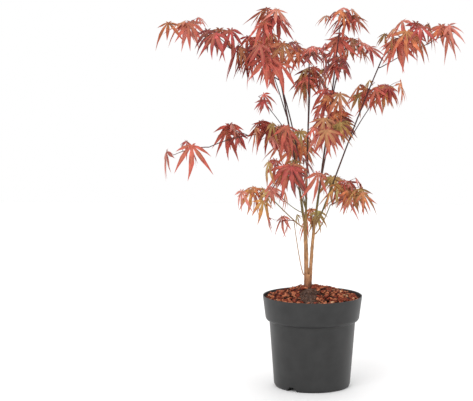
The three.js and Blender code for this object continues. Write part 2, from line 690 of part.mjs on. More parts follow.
// The closed skin of one leaf: folded lobes about a thick heart, and a three-sided stalk
function leafSolid(pose) {
  const points = [];
  const add = (point) => points.push(point.toArray()) - 1;
  const heartTop = add(pose.base);
  const heartUnder = add(leafPoint(pose, 0, 0, -leaf.heart));
  const count = leaf.lobes.length;
  const valleys = Array.from({ length: count + 1 }, (_, i) => {
    const outer = i === 0 || i === count;
    const side = i === 0 ? -leaf.heartAngle : leaf.heartAngle;
    const degrees = outer ? side : (leaf.lobes[i - 1] + leaf.lobes[i]) / 2;
    const distance = outer ? leaf.heartSide : leaf.valley * pose.blade;
    return add(leafPoint(pose, distance, rad(degrees), -leaf.heart / 2));
  });
  const faces = [];
  lobesOf(pose).forEach((lobe, i) => {
    const [tip, left, right] = [add(lobe.tip), add(lobe.left), add(lobe.right)];
    const [near, far] = [valleys[i], valleys[i + 1]];
    faces.push([heartTop, near, left], [heartTop, left, tip]);
    faces.push([heartTop, tip, right], [heartTop, right, far]);
    faces.push([heartUnder, left, near], [heartUnder, right, left]);
    faces.push([heartUnder, far, right], [left, right, tip]);
  });
  const collar = [valleys[0], valleys[count], heartUnder];
  const middle = collar.reduce((sum, i) => sum.add(vec(points[i])), new THREE.Vector3()).divideScalar(3);
  const root = collar.map((i) =>
    add(vec(points[i]).sub(middle).multiplyScalar(leaf.stalkRoot).add(pose.node)));
  faces.push([heartTop, valleys[count], valleys[0]]);
  for (let i = 0; i < 3; i += 1) {
    const j = (i + 1) % 3;
    faces.push([collar[i], collar[j], root[j]], [collar[i], root[j], root[i]]);
  }
  faces.push([root[0], root[1], root[2]]);
  return solidOf(geometryOf(points, faces));
}

// A twig from one point to another, bent at its middle, or nothing where it doesn't fit
function twigPath(space, from, to, bow, ownLimb) {
  const middle = from.clone().lerp(to, 0.5).add(bow);
  const path = [from, middle, to];
  const fits = path.slice(1).every((point) => keepsIn(space, point))
    && clearOfLimbs(from, middle, twig.stem, ownLimb)
    && clearOfLimbs(middle, to, twig.stem, null);
  return fits ? path : null;
}

// The seeded rule of one mass: a stem from its limb's tip, shoots off the stem, and leaves dealt out
// to the twigs' ends and bends. Each leaf is the one of several draws that fits and lies farthest
// from the leaves before it, and is skipped where none fits.
function growFoliage(space) {
  const random = seeded(space.seed);
  const spread = (low, high) => low + (high - low) * random();
  const limb = limbs[space.limb];
  const { root: limbTip, along: limbWay } = stationOf(limb, 1);
  const start = limbTip.clone().addScaledVector(limbWay, gap);
  const middle = vec(space.centre);
  const reach = vec(space.reach);
  const free = reach.clone().multiply(new THREE.Vector3(
    Math.max(1 - twig.bladeRoom * space.blade / reach.x, twig.spread),
    Math.max(1 - twig.bladeRoom * space.blade / reach.y, twig.spread), 0));
  const ahead = middle.clone().sub(start);
  const stemTurn = Math.atan2(ahead.y, ahead.x);
  const face = rad(space.face);
  const targetAt = (turn, rise) => middle.clone()
    .add(level(turn).multiply(free))
    .addScaledVector(up, rise * reach.z);

  const end = targetAt(stemTurn, spread(...twig.stemRises));
  const lift = up.clone().multiplyScalar(twig.lift * start.distanceTo(end));
  const stem = [start, start.clone().lerp(end, 0.5).add(lift), end];
  const stemWays = [limbWay, ...directionsOf(stem).slice(1)];
  const twigs = [{ points: stem, directions: stemWays, taper: [twig.stem, twig.stem, twig.tip] }];
  const inside = (path) => path[2].clone().add(path[1].clone().sub(path[2]).setLength(twig.sunk));
  const nodes = [{ point: inside(stem), turn: stemTurn }, { point: stem[1], turn: stemTurn }];

  for (let k = 0; k < space.shoots; k += 1) {
    const along = twig.firstShoot + (twig.shootSpan * (k + 1)) / (space.shoots + 1);
    const root = along < 0.5
      ? stem[0].clone().lerp(stem[1], 2 * along)
      : stem[1].clone().lerp(stem[2], 2 * along - 1);
    const rise = spread(...twig.shootRises);
    for (let turns = 0; turns < twig.tries; turns += 1) {
      const turn = stemTurn + rad(180 + twig.golden * (k + twig.tryShare * turns))
        + spread(-twig.jitter, twig.jitter);
      const target = targetAt(turn, rise);
      const path = twigPath(space, root, target, lift, space.limb);
      if (path) {
        const directions = directionsOf(path);
        twigs.push({ points: path, directions, taper: [twig.root, twig.tip, twig.tip] });
        nodes.push({ point: inside(path), turn }, { point: path[1], turn });
        break;
      }
    }
  }

  const lines = twigs.flatMap(({ points }) => points.slice(1).map((to, i) => [points[i], to]));
  const leaves = [];
  for (let n = 0; n < space.leaves; n += 1) {
    const node = nodes[n % nodes.length];
    const lean = Math.atan2(Math.sin(node.turn) + Math.sin(face), Math.cos(node.turn) + Math.cos(face));
    const blade = space.blade * spread(...dealing.sizes);
    let best = null;
    let widest = 0;
    for (let draw = 0; draw < dealing.draws; draw += 1) {
      const heading = lean + spread(-1, 1) * rad(dealing.fan);
      const droop = rad(Math.min(space.droop + spread(...dealing.droops), dealing.steepest));
      const roll = spread(-dealing.roll, dealing.roll);
      const stalk = leaf.stalk * blade * spread(...dealing.stalks);
      const shape = outlineOf(leafPose(node.point, heading, droop, roll, blade, stalk));
      const middle = shape.lobes[2].tip.clone().lerp(shape.pose.base, 0.5);
      const apart = Math.min(dealing.farEnough, ...leaves.map((other) => other.middle.distanceTo(middle)));
      if (apart > widest && leafFits(space, shape, lines, leaves)) {
        best = { ...shape, middle };
        widest = apart;
      }
    }
    if (best) leaves.push(best);
  }
  return { twigs, leaves };
}

function foliageSolid(space) {
  const { twigs, leaves } = growFoliage(space);
  const parts = twigs.map((each) => solidOf(taperingTube(each, twig.sides)));
  for (const { pose } of leaves) parts.push(leafSolid(pose));
  return largest(wasm.Manifold.union(parts));
}

// The whole plant
const plant = new THREE.Group();

function addNode(name, geometry, color, roughness) {
  const material = new THREE.MeshStandardMaterial({ color, roughness, metalness: 0 });
  const mesh = new THREE.Mesh(geometry, material);
  mesh.name = name;
  plant.add(mesh);
}

growLimbs();
addNode("pot", geometryOfSolid(potSolid()), colours.pot, 0.55);
addNode("compost", geometryOfSolid(compostSolid()), colours.compost, 0.95);
addNode("bark_mulch", barkGeometry(), colours.bark, 0.9);
addNode("trunk", geometryOfSolid(trunkSolid()), colours.trunk, 0.7);
for (const row of limbRows) {
  addNode(row.name, taperingTube(limbs[row.name], limbShape.sides), colours.stem, 0.6);
}
foliageRows.forEach((space, i) => {
  const tint = colours.foliage[i % colours.foliage.length];
  addNode(space.name, geometryOfSolid(foliageSolid(space)), tint, 0.6);
});

export default plant;
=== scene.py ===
import math

import bpy
import mathutils
import numpy as np
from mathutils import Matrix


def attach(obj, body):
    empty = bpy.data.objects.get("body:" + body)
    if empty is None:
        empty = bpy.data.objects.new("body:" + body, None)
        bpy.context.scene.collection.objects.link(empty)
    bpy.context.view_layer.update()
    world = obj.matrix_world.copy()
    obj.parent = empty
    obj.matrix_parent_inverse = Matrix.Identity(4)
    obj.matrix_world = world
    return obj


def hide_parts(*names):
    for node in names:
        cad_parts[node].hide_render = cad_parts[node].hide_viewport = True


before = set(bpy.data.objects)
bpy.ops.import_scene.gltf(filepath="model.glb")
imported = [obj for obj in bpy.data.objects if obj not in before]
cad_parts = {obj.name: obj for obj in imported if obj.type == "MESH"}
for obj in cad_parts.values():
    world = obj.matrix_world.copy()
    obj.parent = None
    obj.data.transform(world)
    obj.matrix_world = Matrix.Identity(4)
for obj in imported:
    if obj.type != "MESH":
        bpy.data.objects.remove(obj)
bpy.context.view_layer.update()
print("frame loaded:", len(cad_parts), "nodes")

# The plant is grown in millimetres, front towards -Y, and turned to metres where meshes are made
millimetre = 0.001
up = np.array([0.0, 0.0, 1.0])


def table(keys, rows):  # a dictionary for each row; a short row leaves out the last keys
    return [dict(zip(keys.split(), row)) for row in rows]


def named(rows, name):  # the row of this name, or None
    return next((row for row in rows if row["name"] == name), None)


# The two leaders of the trunk, with their radii at foot and tip
leaderRows = table("name foot tip bow radii", (
    ("trunk_left", [-12, 12, 186], [-15, 9, 313], [2, 1, 0], [4.5, 3.6]),
    ("trunk_right", [-5, 12, 186], [1.5, 14, 294], [-2, 0, 0], [3.6, 2.9]),
))

# The limbs: the limb that each leaves and at which share of its length, its tip or the mass that it
# runs to, bow at half way, radii, and how far aside it starts where it goes on from a leader
limbRows = table("name from at end bow radii side", (
    ("stem_left", "trunk_left", 1, [-76, 24, 652], [4, 4, 0], [2.5, 1.2], [-2.6, 0, 0]),
    ("stem_centre", "trunk_left", 1, [-9, 72, 614], [2, -20, 0], [2.2, 1.1], [2.4, 0, 0]),
    ("stem_right", "trunk_right", 1, [48, 40, 676], [3, -16, 0], [2.5, 1.1], [0.2, 0, 0]),
    ("stem_left_inner", "stem_centre", 0.27, [-63, -66, 588], [13, -8, -8], [1.6, 1.1]),
    ("stem_far_right", "stem_right", 0.1, [128, -22, 628], [-9, -4, -8], [1.8, 1.1]),
    ("bough_left_mid", "stem_left_inner", 0.69, [-194, -46, 461], [0, 22, 24], [1.2, 0.8]),
    ("bough_top_left", "stem_left", 0.86, [-207, 16, 668], [0, 6, 12], [1.2, 0.8]),
    ("bough_low_left", "trunk_left", 0.93, [-82, 42, 358], [0, 0, -4], [1.3, 0.9]),
    ("bough_low_right", "trunk_right", 0.97, [32, -22, 350], [3, 0, -6], [1.3, 0.9]),
    ("bough_trunk_left", "trunk_left", 0.2, [-36, -4, 318], [-3, 0, 0], [1.0, 0.7]),
    ("bough_trunk_back", "trunk_right", 0.72, "foliage_low_back", [0, 2, 4], [1.0, 0.7]),
    ("bough_top_left_front", "bough_top_left", 0.42, "foliage_top_left_front", [0, 0, 3],
     [0.9, 0.7]),
    ("bough_left_near", "bough_left_mid", 0.14, "foliage_left_near", [0, 0, 3], [0.9, 0.7]),
    ("bough_left_small", "stem_left_inner", 0.63, "foliage_left_small", [0, 0, 3], [0.8, 0.7]),
    ("bough_left_between", "bough_left_mid", 0.56, "foliage_left_between", [0, 0, 3], [0.8, 0.7]),
    ("bough_left_low", "stem_left", 0.12, "foliage_left_low", [0, 0, -3], [0.9, 0.7]),
    ("bough_front_low", "stem_centre", 0.16, "foliage_front_low", [0, 0, 8], [1.2, 0.8]),
    ("bough_front_mid", "stem_right", 0.36, "foliage_front_mid", [0, 0, 6], [1.1, 0.8]),
    ("bough_front_upper", "stem_right", 0.5, "foliage_front_upper", [0, 0, 4], [1.0, 0.7]),
    ("bough_front_top", "stem_right", 0.7, "foliage_front_top", [0, 0, 4], [1.0, 0.7]),
    ("bough_centre_back", "stem_centre", 0.58, "foliage_centre_back", [0, 0, 4], [0.9, 0.7]),
    ("bough_right_mid", "stem_far_right", 0.66, "foliage_right_mid", [0, 0, 4], [1.1, 0.8]),
    ("bough_right_tip", "stem_far_right", 0.96, [214, 16, 652], [0, 16, 6], [0.9, 0.7]),
    ("bough_top_right_back", "stem_right", 0.74, "foliage_top_right_back", [0, 0, 6], [1.0, 0.7]),
    ("bough_back_left_top", "stem_left", 0.7, "foliage_back_left_top", [0, 0, 6], [1.1, 0.8]),
    ("bough_back_left", "stem_centre", 0.2, "foliage_back_left", [0, 0, 8], [1.1, 0.8]),
    ("bough_back_mid", "stem_right", 0.34, "foliage_back_mid", [0, 0, 8], [1.1, 0.8]),
    ("bough_back_right", "stem_right", 0.14, "foliage_back_right", [0, 0, 8], [1.1, 0.8]),
))

# The masses of foliage: limb, middle and reach of the space; then counts of shoots and leaves,
# blade size, droop and facing in degrees, seed, and the tints that its leaves take by turns
foliageRows = table("name limb centre reach shoots leaves blade droop face seed tints", (
    ("foliage_top_left_tip", "bough_top_left", [-251, 20, 675], [55, 52, 43],
     1, 4, 46, 42, -110, 15, "brick rose orange"),
    ("foliage_top_left_front", "bough_top_left_front", [-176, -60, 660], [51, 49, 40],
     1, 4, 48, 48, -95, 16, "purple deep_red russet"),
    ("foliage_left_crown", "stem_left_inner", [-94, -110, 622], [69, 65, 52],
     3, 10, 56, 55, -95, 31, "deep_red brick purple russet brick"),
    ("foliage_top_left", "stem_left", [-80, 38, 695], [50, 54, 47],
     2, 8, 48, 40, -100, 71, "brick orange deep_red rose"),
    ("foliage_top_centre", "stem_centre", [-24, 78, 638], [50, 56, 42],
     2, 8, 42, 35, -90, 9, "orange brick purple rose"),
    ("foliage_top_right", "stem_right", [54, 52, 700], [52, 52, 42],
     2, 7, 44, 38, -85, 91, "deep_red orange brick russet"),
    ("foliage_top_right_back", "bough_top_right_back", [56, 122, 638], [88, 56, 48],
     3, 9, 46, 42, 80, 17, "brick orange deep_red rose russet"),
    ("foliage_right_crown", "stem_far_right", [171, -50, 661], [60, 60, 60],
     3, 11, 50, 50, -80, 43, "brick russet rose deep_red bronze orange"),
    ("foliage_right_tip", "bough_right_tip", [244, -10, 656], [40, 47, 45],
     1, 4, 46, 45, -60, 30, "rose brick orange"),
    ("foliage_front_top", "bough_front_top", [44, -122, 606], [37, 43, 34],
     1, 5, 44, 50, -90, 51, "purple deep_red brick"),
    ("foliage_right_mid", "bough_right_mid", [121, 90, 549], [67, 58, 47],
     3, 9, 48, 52, -60, 5, "orange brick amber bronze deep_red"),
    ("foliage_centre_back", "bough_centre_back", [-6, 100, 580], [50, 49, 50],
     2, 7, 46, 50, 100, 32, "orange brick bronze purple"),
    ("foliage_front_upper", "bough_front_upper", [33, -80, 540], [40, 47, 44],
     2, 7, 46, 58, -90, 40, "brick deep_red orange russet"),
    ("foliage_front_mid", "bough_front_mid", [30, -140, 494], [46, 52, 43],
     2, 9, 44, 58, -85, 17, "deep_red russet brick rose bronze"),
    ("foliage_left_near", "bough_left_near", [-74, -78, 487], [56, 52, 48],
     2, 8, 48, 52, -95, 65, "brick deep_red russet rose brick bronze"),
    ("foliage_left_small", "bough_left_small", [-92, -2, 543], [30, 34, 32],
     0, 2, 34, 55, -95, 68, "brick deep_red"),
    ("foliage_left_between", "bough_left_between", [-152, -12, 474], [48, 50, 53],
     1, 5, 58, 60, -95, 42, "brick deep_red brick rose"),
    ("foliage_left_tip", "bough_left_mid", [-236, -60, 430], [54, 52, 52],
     1, 3, 52, 62, -100, 30, "brick deep_red rose"),
    ("foliage_front_low", "bough_front_low", [-36, -110, 412], [70, 58, 52],
     3, 10, 50, 58, -95, 29, "russet purple brick deep_red bronze"),
    ("foliage_left_low", "bough_left_low", [-66, -36, 368], [30, 32, 30],
     0, 2, 36, 55, -120, 31, "rose orange"),
    ("foliage_low_left", "bough_low_left", [-112, 60, 344], [46, 47, 52],
     1, 5, 44, 58, -110, 45, "amber amber rose bronze orange"),
    ("foliage_trunk_left", "bough_trunk_left", [-54, -22, 306], [33, 34, 34],
     0, 2, 34, 66, -95, 15, "rose brick"),
    ("foliage_low_right", "bough_low_right", [71, -50, 359], [64, 54, 45],
     2, 8, 44, 58, -85, 27, "orange bronze amber rose olive amber"),
    ("foliage_low_back", "bough_trunk_back", [0, 62, 312], [38, 36, 36],
     0, 3, 40, 66, 90, 54, "olive orange"),
    ("foliage_back_left_top", "bough_back_left_top", [-96, 122, 640], [60, 58, 49],
     2, 8, 48, 50, 110, 41, "brick deep_red orange russet"),
    ("foliage_back_left", "bough_back_left", [-44, 130, 446], [60, 58, 48],
     2, 8, 48, 55, 100, 41, "orange brick bronze"),
    ("foliage_back_mid", "bough_back_mid", [38, 152, 494], [52, 56, 47],
     2, 7, 48, 55, 80, 15, "brick orange purple bronze"),
    ("foliage_back_right", "bough_back_right", [58, 116, 364], [56, 54, 45],
     2, 8, 48, 55, 70, 40, "bronze orange brick"),
))

# How the limbs run: how far a fork goes straight on, how many radii a side bough goes straight out,
# how deep in its space a mass begins, and the clear space between the solids
limbShape = {"steps": 5, "leaderSteps": 4, "forkLead": 40, "sideLead": 5, "entry": 0.72, "gap": 0.3,
             "nearby": 1e-4}

# A leaf by which the growth is planned: lobes' angles, lengths and widths as shares of the blade
leaf = {"lobes": [-76, -37, 0, 37, 76], "lengths": [0.66, 0.92, 1, 0.92, 0.66], "halfWidth": 0.088,
        "shoulder": 0.46, "fold": 0.034, "curl": 0.1, "heart": 1.1, "stalk": 0.42, "stalkRise": 22}

# How leaves are dealt out: the ranges they are drawn from, and the room that each keeps
dealing = {"draws": 90, "sizes": (0.86, 1.08), "droops": (-18, 24), "steepest": 84, "roll": 0.35,
           "stalks": (0.5, 1.3), "fan": 150, "room": 0.75, "apart": 1.4, "farEnough": 60,
           "outOfReach": 1.9, "overEnds": 0.03}

# Twigs: their size, the clear space round them, and how the shoots leave the stem
twig = {"stem": 0.85, "root": 0.4, "sunk": 0.8, "clear": 0.5, "border": 0.07, "spread": 0.45,
        "bladeRoom": 0.9, "stemRises": (0.3, 0.45), "lift": 0.06, "firstShoot": 0.35,
        "shootSpan": 0.5, "shootRises": (-0.3, 0.6), "golden": 137.5, "tries": 4,
        "tryShare": 0.35, "jitter": 0.2}

# The finer twigs that carry the smaller leaves, off the twigs above; more of them on the far side
fineTwig = {"from": 0.3, "span": 0.62, "lengths": (9, 24), "turn": 62, "turnJitter": 34,
            "rises": (-10, 42), "tries": 3, "sizes": (0.56, 0.9), "draws": 50, "apart": 0.5,
            "share": 0.3, "backShare": 0.8, "back": 10, "arch": 0.8, "seedStep": 1000}

spacePower = 4  # how square a mass's space is: 2 is an ellipsoid, and more is boxier
randomRule = {"factor": 1664525, "step": 1013904223, "range": 2 ** 32}
nearZero = 1e-9  # below this a pair of lines, or a line and a triangle, count as parallel


def unit(v):  # the same directions, each one long
    return v / np.linalg.norm(v, axis=-1, keepdims=True)


def level(turn):  # horizontal directions at these angles
    return np.stack([np.cos(turn), np.sin(turn), np.zeros_like(turn)], -1)


def dot(a, b):  # scalar products along the last axis
    return (a * b).sum(-1)


def framed(base, axes, steps):  # places that lie these steps from a base along each of some axes
    return sum((axis * step[..., None] for axis, step in zip(axes, steps)), base)


def seeded(seed):  # an endless run of shares from 0 to 1, the same for the same seed
    state = seed
    while True:
        state = (state * randomRule["factor"] + randomRule["step"]) % randomRule["range"]
        yield state / randomRule["range"]


def spread(draw, low, high):  # the next share of a run, stretched from low to high
    return low + (high - low) * next(draw)


def tapered(radii, share):  # the radius at a share of the way from foot to tip
    return radii[0] + (radii[1] - radii[0]) * share


def curvePoints(corners, share):  # Bezier curve: corner k weighs (n over k) (1-t)^(n-k) t^k
    share = np.asarray(share, float)[..., None]
    last = len(corners) - 1
    return sum(math.comb(last, k) * (1 - share) ** (last - k) * share ** k * corners[k]
               for k in range(last + 1))


def endWay(corners):  # direction of the curve at its end, from two points close together
    return unit(curvePoints(corners, 1) - curvePoints(corners, 1 - limbShape["nearby"]))


# Limbs
limbs = {}


def addLimb(name, corners, radii, steps):  # its curve, and the straight pieces that stand for it
    shares = np.linspace(0, 1, steps + 1)
    limbs[name] = {"corners": corners, "radii": radii, "points": curvePoints(corners, shares),
                   "way": endWay(corners), "taper": tapered(radii, shares)}


def stationOf(limb, share):  # point and direction on a limb's straight pieces at a share of them
    points = limb["points"]
    last = len(points) - 1
    if share == 1:
        return points[last], limb["way"]
    step = int(share * last)
    ahead = points[step + 1] - points[step]
    return points[step] + ahead * (share * last - step), unit(ahead)


def entryPoint(start, space):  # where a limb gives way to its mass's own stem, inside the space
    back = start - space["centre"]
    return space["centre"] + back * limbShape["entry"] / np.linalg.norm(back / space["reach"])


def growLimb(row):
    # A cubic curve: straight on from a leader's end, or out from its parent's skin, then by its bow
    # to the tip, which may lie where it enters its mass's space
    parent = limbs[row["from"]]
    root, along = stationOf(parent, row["at"])
    space = named(foliageRows, row["end"])
    if row["at"] == 1:
        start = root + along * limbShape["gap"] + row["side"]
        lead = start + along * limbShape["forkLead"]
    else:
        away = (space["centre"] if space else row["end"]) - root
        away = unit(away - dot(away, along) * along)
        start = root + away * (tapered(parent["radii"], row["at"]) + limbShape["gap"])
        lead = start + away * limbShape["sideLead"] * row["radii"][0]
    tip = entryPoint(start, space) if space else np.array(row["end"])
    middle = start + (tip - start) / 2 + row["bow"]
    addLimb(row["name"], [start, lead, middle, tip], row["radii"], limbShape["steps"])


def growLimbs():  # the leaders, then every limb after the one that it leaves
    for row in leaderRows:
        foot, tip = np.array(row["foot"]), np.array(row["tip"])
        middle = foot + (tip - foot) / 2 + row["bow"]
        addLimb(row["name"], [foot, middle, tip], row["radii"], limbShape["leaderSteps"])
    for row in limbRows:
        growLimb(row)


# Room for twigs and leaves
def shareOut(space, points):  # how far out points lie in a space: 0 at its middle, 1 on its skin
    shares = (points - space["centre"]) / space["reach"]
    return (shares ** spacePower).sum(-1) ** (1 / spacePower)


def keepsIn(space, points):  # inside the space, and well on its own side of every neighbour's
    own = shareOut(space, points)
    inside = own <= 1
    for other in foliageRows:
        if other is not space:
            inside &= shareOut(other, points) > own + twig["border"]
    return inside


def distanceBetween(a, b, c, d):  # between the nearest points of straight pieces a-b and c-d
    u, v, w = b - a, d - c, a - c
    uu, uv, vv, uw, vw = dot(u, u), dot(u, v), dot(v, v), dot(u, w), dot(v, w)
    det = uu * vv - uv * uv
    flat = det <= nearZero
    s = np.where(flat, 0, np.clip((uv * vw - vv * uw) / np.where(flat, 1, det), 0, 1))
    t = np.clip((uv * s + vw) / vv, 0, 1)
    s = np.clip((uv * t - uw) / uu, 0, 1)
    return np.linalg.norm(w + u * s[..., None] - v * t[..., None], axis=-1)


def limbPieces():  # every straight piece of every limb, with the name of the limb that it ends
    ends = [(limb["points"][:-1], limb["points"][1:], limb["taper"][:-1])
            for limb in limbs.values()]
    starts, stops, radii = (np.concatenate(column) for column in zip(*ends))
    endOf = np.concatenate([[""] * (len(limb["points"]) - 2) + [name]
                            for name, limb in limbs.items()])
    return {"start": starts, "stop": stops, "radius": radii, "endOf": endOf}


def clearOfLimbs(start, stop, radius, ownLimb="none"):  # pieces of some radius that touch no limb
    start, stop = start[..., None, :], stop[..., None, :]
    reach = distanceBetween(start, stop, pieces["start"], pieces["stop"])
    near = reach < radius + pieces["radius"] + twig["clear"]
    return ~(near & (pieces["endOf"] != ownLimb)).any(-1)


# Leaves, many trial poses at once
def leafPoses(node, heading, droop, roll, blade, stalk):  # base and frame: point, side and top
    outward, rise = level(heading), math.radians(leaf["stalkRise"])
    base = framed(node, (outward, up), (stalk * math.cos(rise), stalk * math.sin(rise)))
    cosDroop, sinDroop = np.cos(droop)[:, None], np.sin(droop)[:, None]
    cosRoll, sinRoll = np.cos(roll)[:, None], np.sin(roll)[:, None]
    point = outward * cosDroop - up * sinDroop
    face = outward * sinDroop + up * cosDroop
    flat = np.cross(face, point)
    return {"node": np.broadcast_to(node, base.shape), "base": base, "point": point,
            "side": flat * cosRoll + face * sinRoll, "top": face * cosRoll - flat * sinRoll,
            "blade": np.full(len(base), blade)}


def leafPoints(pose, distance, angle, height):  # places from distance, angle and height in a blade
    axes = [pose[key][:, None] for key in ("point", "side", "top")]
    steps = (distance * np.cos(angle), distance * np.sin(angle), height)
    return framed(pose["base"][:, None], axes, steps)


def withOutline(pose):  # adds lobes' tips and shoulders, and the lines and triangles to test by
    angle, blade = np.radians(leaf["lobes"]), pose["blade"][:, None]
    length, halfWidth = blade * leaf["lengths"], blade * leaf["halfWidth"]
    along = leaf["shoulder"] * length
    turn, out = np.arctan2(halfWidth, along), np.hypot(halfWidth, along)
    tipDrop = -leaf["curl"] * length
    shoulderDrop = leaf["shoulder"] * tipDrop - leaf["fold"] * blade
    tip = leafPoints(pose, length, angle, tipDrop)
    left = leafPoints(pose, out, angle - turn, shoulderDrop)
    right = leafPoints(pose, out, angle + turn, shoulderDrop)
    base = np.broadcast_to(pose["base"][:, None], tip.shape)
    stalk = np.stack([pose["node"], pose["base"]], -2)[:, None]
    lines = [np.stack(pair, -2) for pair in ((base, tip), (left, tip), (right, tip))]
    faces = [np.stack(three, -2) for three in ((base, left, tip), (base, tip, right))]
    halves = [left + (tip - left) / 2, right + (tip - right) / 2]
    edges = np.concatenate([tip, left, right, *halves], 1)
    middle = tip[:, 2] + (pose["base"] - tip[:, 2]) / 2
    return {**pose, "tip": tip, "edges": edges, "middle": middle,
            "lines": np.concatenate([*lines, stalk], 1), "faces": np.concatenate(faces, 1)}


def pierces(lines, faces):  # whether any of each leaf's lines goes through any of the triangles
    start, a = lines[..., :, None, 0, :], faces[..., None, :, 0, :]
    way = lines[..., :, None, 1, :] - start
    edge, other = faces[..., None, :, 1, :] - a, faces[..., None, :, 2, :] - a
    lever = np.cross(way, other)
    scale = dot(edge, lever)
    flat = np.abs(scale) < nearZero
    scale = np.where(flat, 1, scale)
    reach = start - a
    u = dot(reach, lever) / scale
    cross = np.cross(reach, edge)
    v, share = dot(way, cross) / scale, dot(other, cross) / scale
    over = dealing["overEnds"]
    inside = (u >= 0) & (u <= 1) & (v >= 0) & (u + v <= 1) & (share > -over) & (share < 1 + over)
    return (inside & ~flat).any((-1, -2))


def crosses(shapes, other):  # which of the shapes go through a leaf that is already there
    bases = np.linalg.norm(shapes["base"] - other["base"], axis=-1)
    near = bases <= dealing["outOfReach"] * (shapes["blade"] + other["blade"])
    pierced = pierces(shapes["lines"], other["faces"]) | pierces(other["lines"], shapes["faces"])
    return near & pierced


def chosen(shapes, keep):  # only some of many leaves
    return {key: value[keep] for key, value in shapes.items()}


def fittingLeaves(space, shapes, twigLines, leaves, apart):  # those that touch nothing
    inside = keepsIn(space, shapes["base"]) & keepsIn(space, shapes["edges"]).all(-1)
    shapes = chosen(shapes, inside)
    half = dealing["room"] * leaf["halfWidth"] * shapes["blade"][:, None, None]
    base, tip = shapes["base"][:, None], shapes["tip"]
    fits = clearOfLimbs(shapes["node"], shapes["base"], leaf["heart"], space["limb"])
    fits &= clearOfLimbs(np.broadcast_to(base, tip.shape), tip, half).all(-1)
    shapes = chosen(shapes, fits)
    for line in twigLines:
        away = distanceBetween(shapes["base"][:, None], shapes["tip"], line[0], line[1]) > apart
        shapes = chosen(shapes, away.all(-1) & ~pierces(line[None], shapes["faces"]))
    for other in leaves:
        base, tip = shapes["base"][:, None, None], shapes["tip"][:, :, None]
        away = distanceBetween(base, tip, other["base"], other["tip"]) > apart
        shapes = chosen(shapes, away.all((-1, -2)))
        shapes = chosen(shapes, ~crosses(shapes, other))
    return shapes


def dealLeaf(space, node, lean, blade, draw, twigLines, leaves, rules):
    # The one of many drawn poses that fits and lies farthest from the leaves before it, or None
    ranges = ((-1, 1), dealing["droops"], (-dealing["roll"], dealing["roll"]), dealing["stalks"])
    drawn = np.array([[spread(draw, *limits) for limits in ranges]
                      for _ in range(rules["draws"])])
    heading = lean + drawn[:, 0] * math.radians(dealing["fan"])
    droop = np.radians(np.minimum(space["droop"] + drawn[:, 1], dealing["steepest"]))
    stalk = leaf["stalk"] * blade * drawn[:, 3]
    shapes = withOutline(leafPoses(node, heading, droop, drawn[:, 2], blade, stalk))
    shapes = fittingLeaves(space, shapes, twigLines, leaves, rules["apart"])
    if not len(shapes["base"]):
        return None
    gaps = [np.linalg.norm(shapes["middle"] - other["middle"], axis=-1) for other in leaves]
    widest = np.min([np.full(len(shapes["base"]), dealing["farEnough"]), *gaps], axis=0).argmax()
    return chosen(shapes, widest)


# The growth of one mass
def twigPath(space, start, end, bow, ownLimb):  # start, middle and end, or None where it can't go
    middle = (start + end) / 2 + bow
    fits = (keepsIn(space, np.array([middle, end])).all()
            and clearOfLimbs(start, middle, twig["stem"], ownLimb)
            and clearOfLimbs(middle, end, twig["stem"]))
    return np.array([start, middle, end]) if fits else None


def growTwigs(space, draw):  # the mass's stem and its shoots, with the angle that each one runs at
    centre, reach = space["centre"], space["reach"]
    limbTip, limbWay = stationOf(limbs[space["limb"]], 1)
    start = limbTip + limbWay * limbShape["gap"]
    free = np.maximum(1 - twig["bladeRoom"] * space["blade"] / reach, twig["spread"]) * reach

    def target(turn, rise):  # a point at the free ellipse in this direction, raised by a share
        outward = [math.cos(turn) * free[0], math.sin(turn) * free[1], rise * reach[2]]
        return centre + np.array(outward)

    turn = math.atan2(centre[1] - start[1], centre[0] - start[0])
    end = target(turn, spread(draw, *twig["stemRises"]))
    lift = up * twig["lift"] * np.linalg.norm(end - start)
    stem = np.array([start, (start + end) / 2 + lift, end])
    twigs = [(stem, turn)]
    for k in range(space["shoots"]):
        along = twig["firstShoot"] + twig["shootSpan"] * (k + 1) / (space["shoots"] + 1)
        step = int(2 * along)
        root = stem[step] + (stem[step + 1] - stem[step]) * (2 * along - step)
        rise = spread(draw, *twig["shootRises"])
        for attempt in range(twig["tries"]):
            swing = math.radians(180 + twig["golden"] * (k + twig["tryShare"] * attempt))
            shootTurn = turn + swing + spread(draw, -twig["jitter"], twig["jitter"])
            path = twigPath(space, root, target(shootTurn, rise), lift, space["limb"])
            if path is not None:
                twigs.append((path, shootTurn))
                break
    return twigs


def curveThrough(path, share):  # parabola through start, middle and end: corner 2m - (s + e) / 2
    corners = [path[0], 2 * path[1] - (path[0] + path[2]) / 2, path[2]]
    return curvePoints(corners, share)


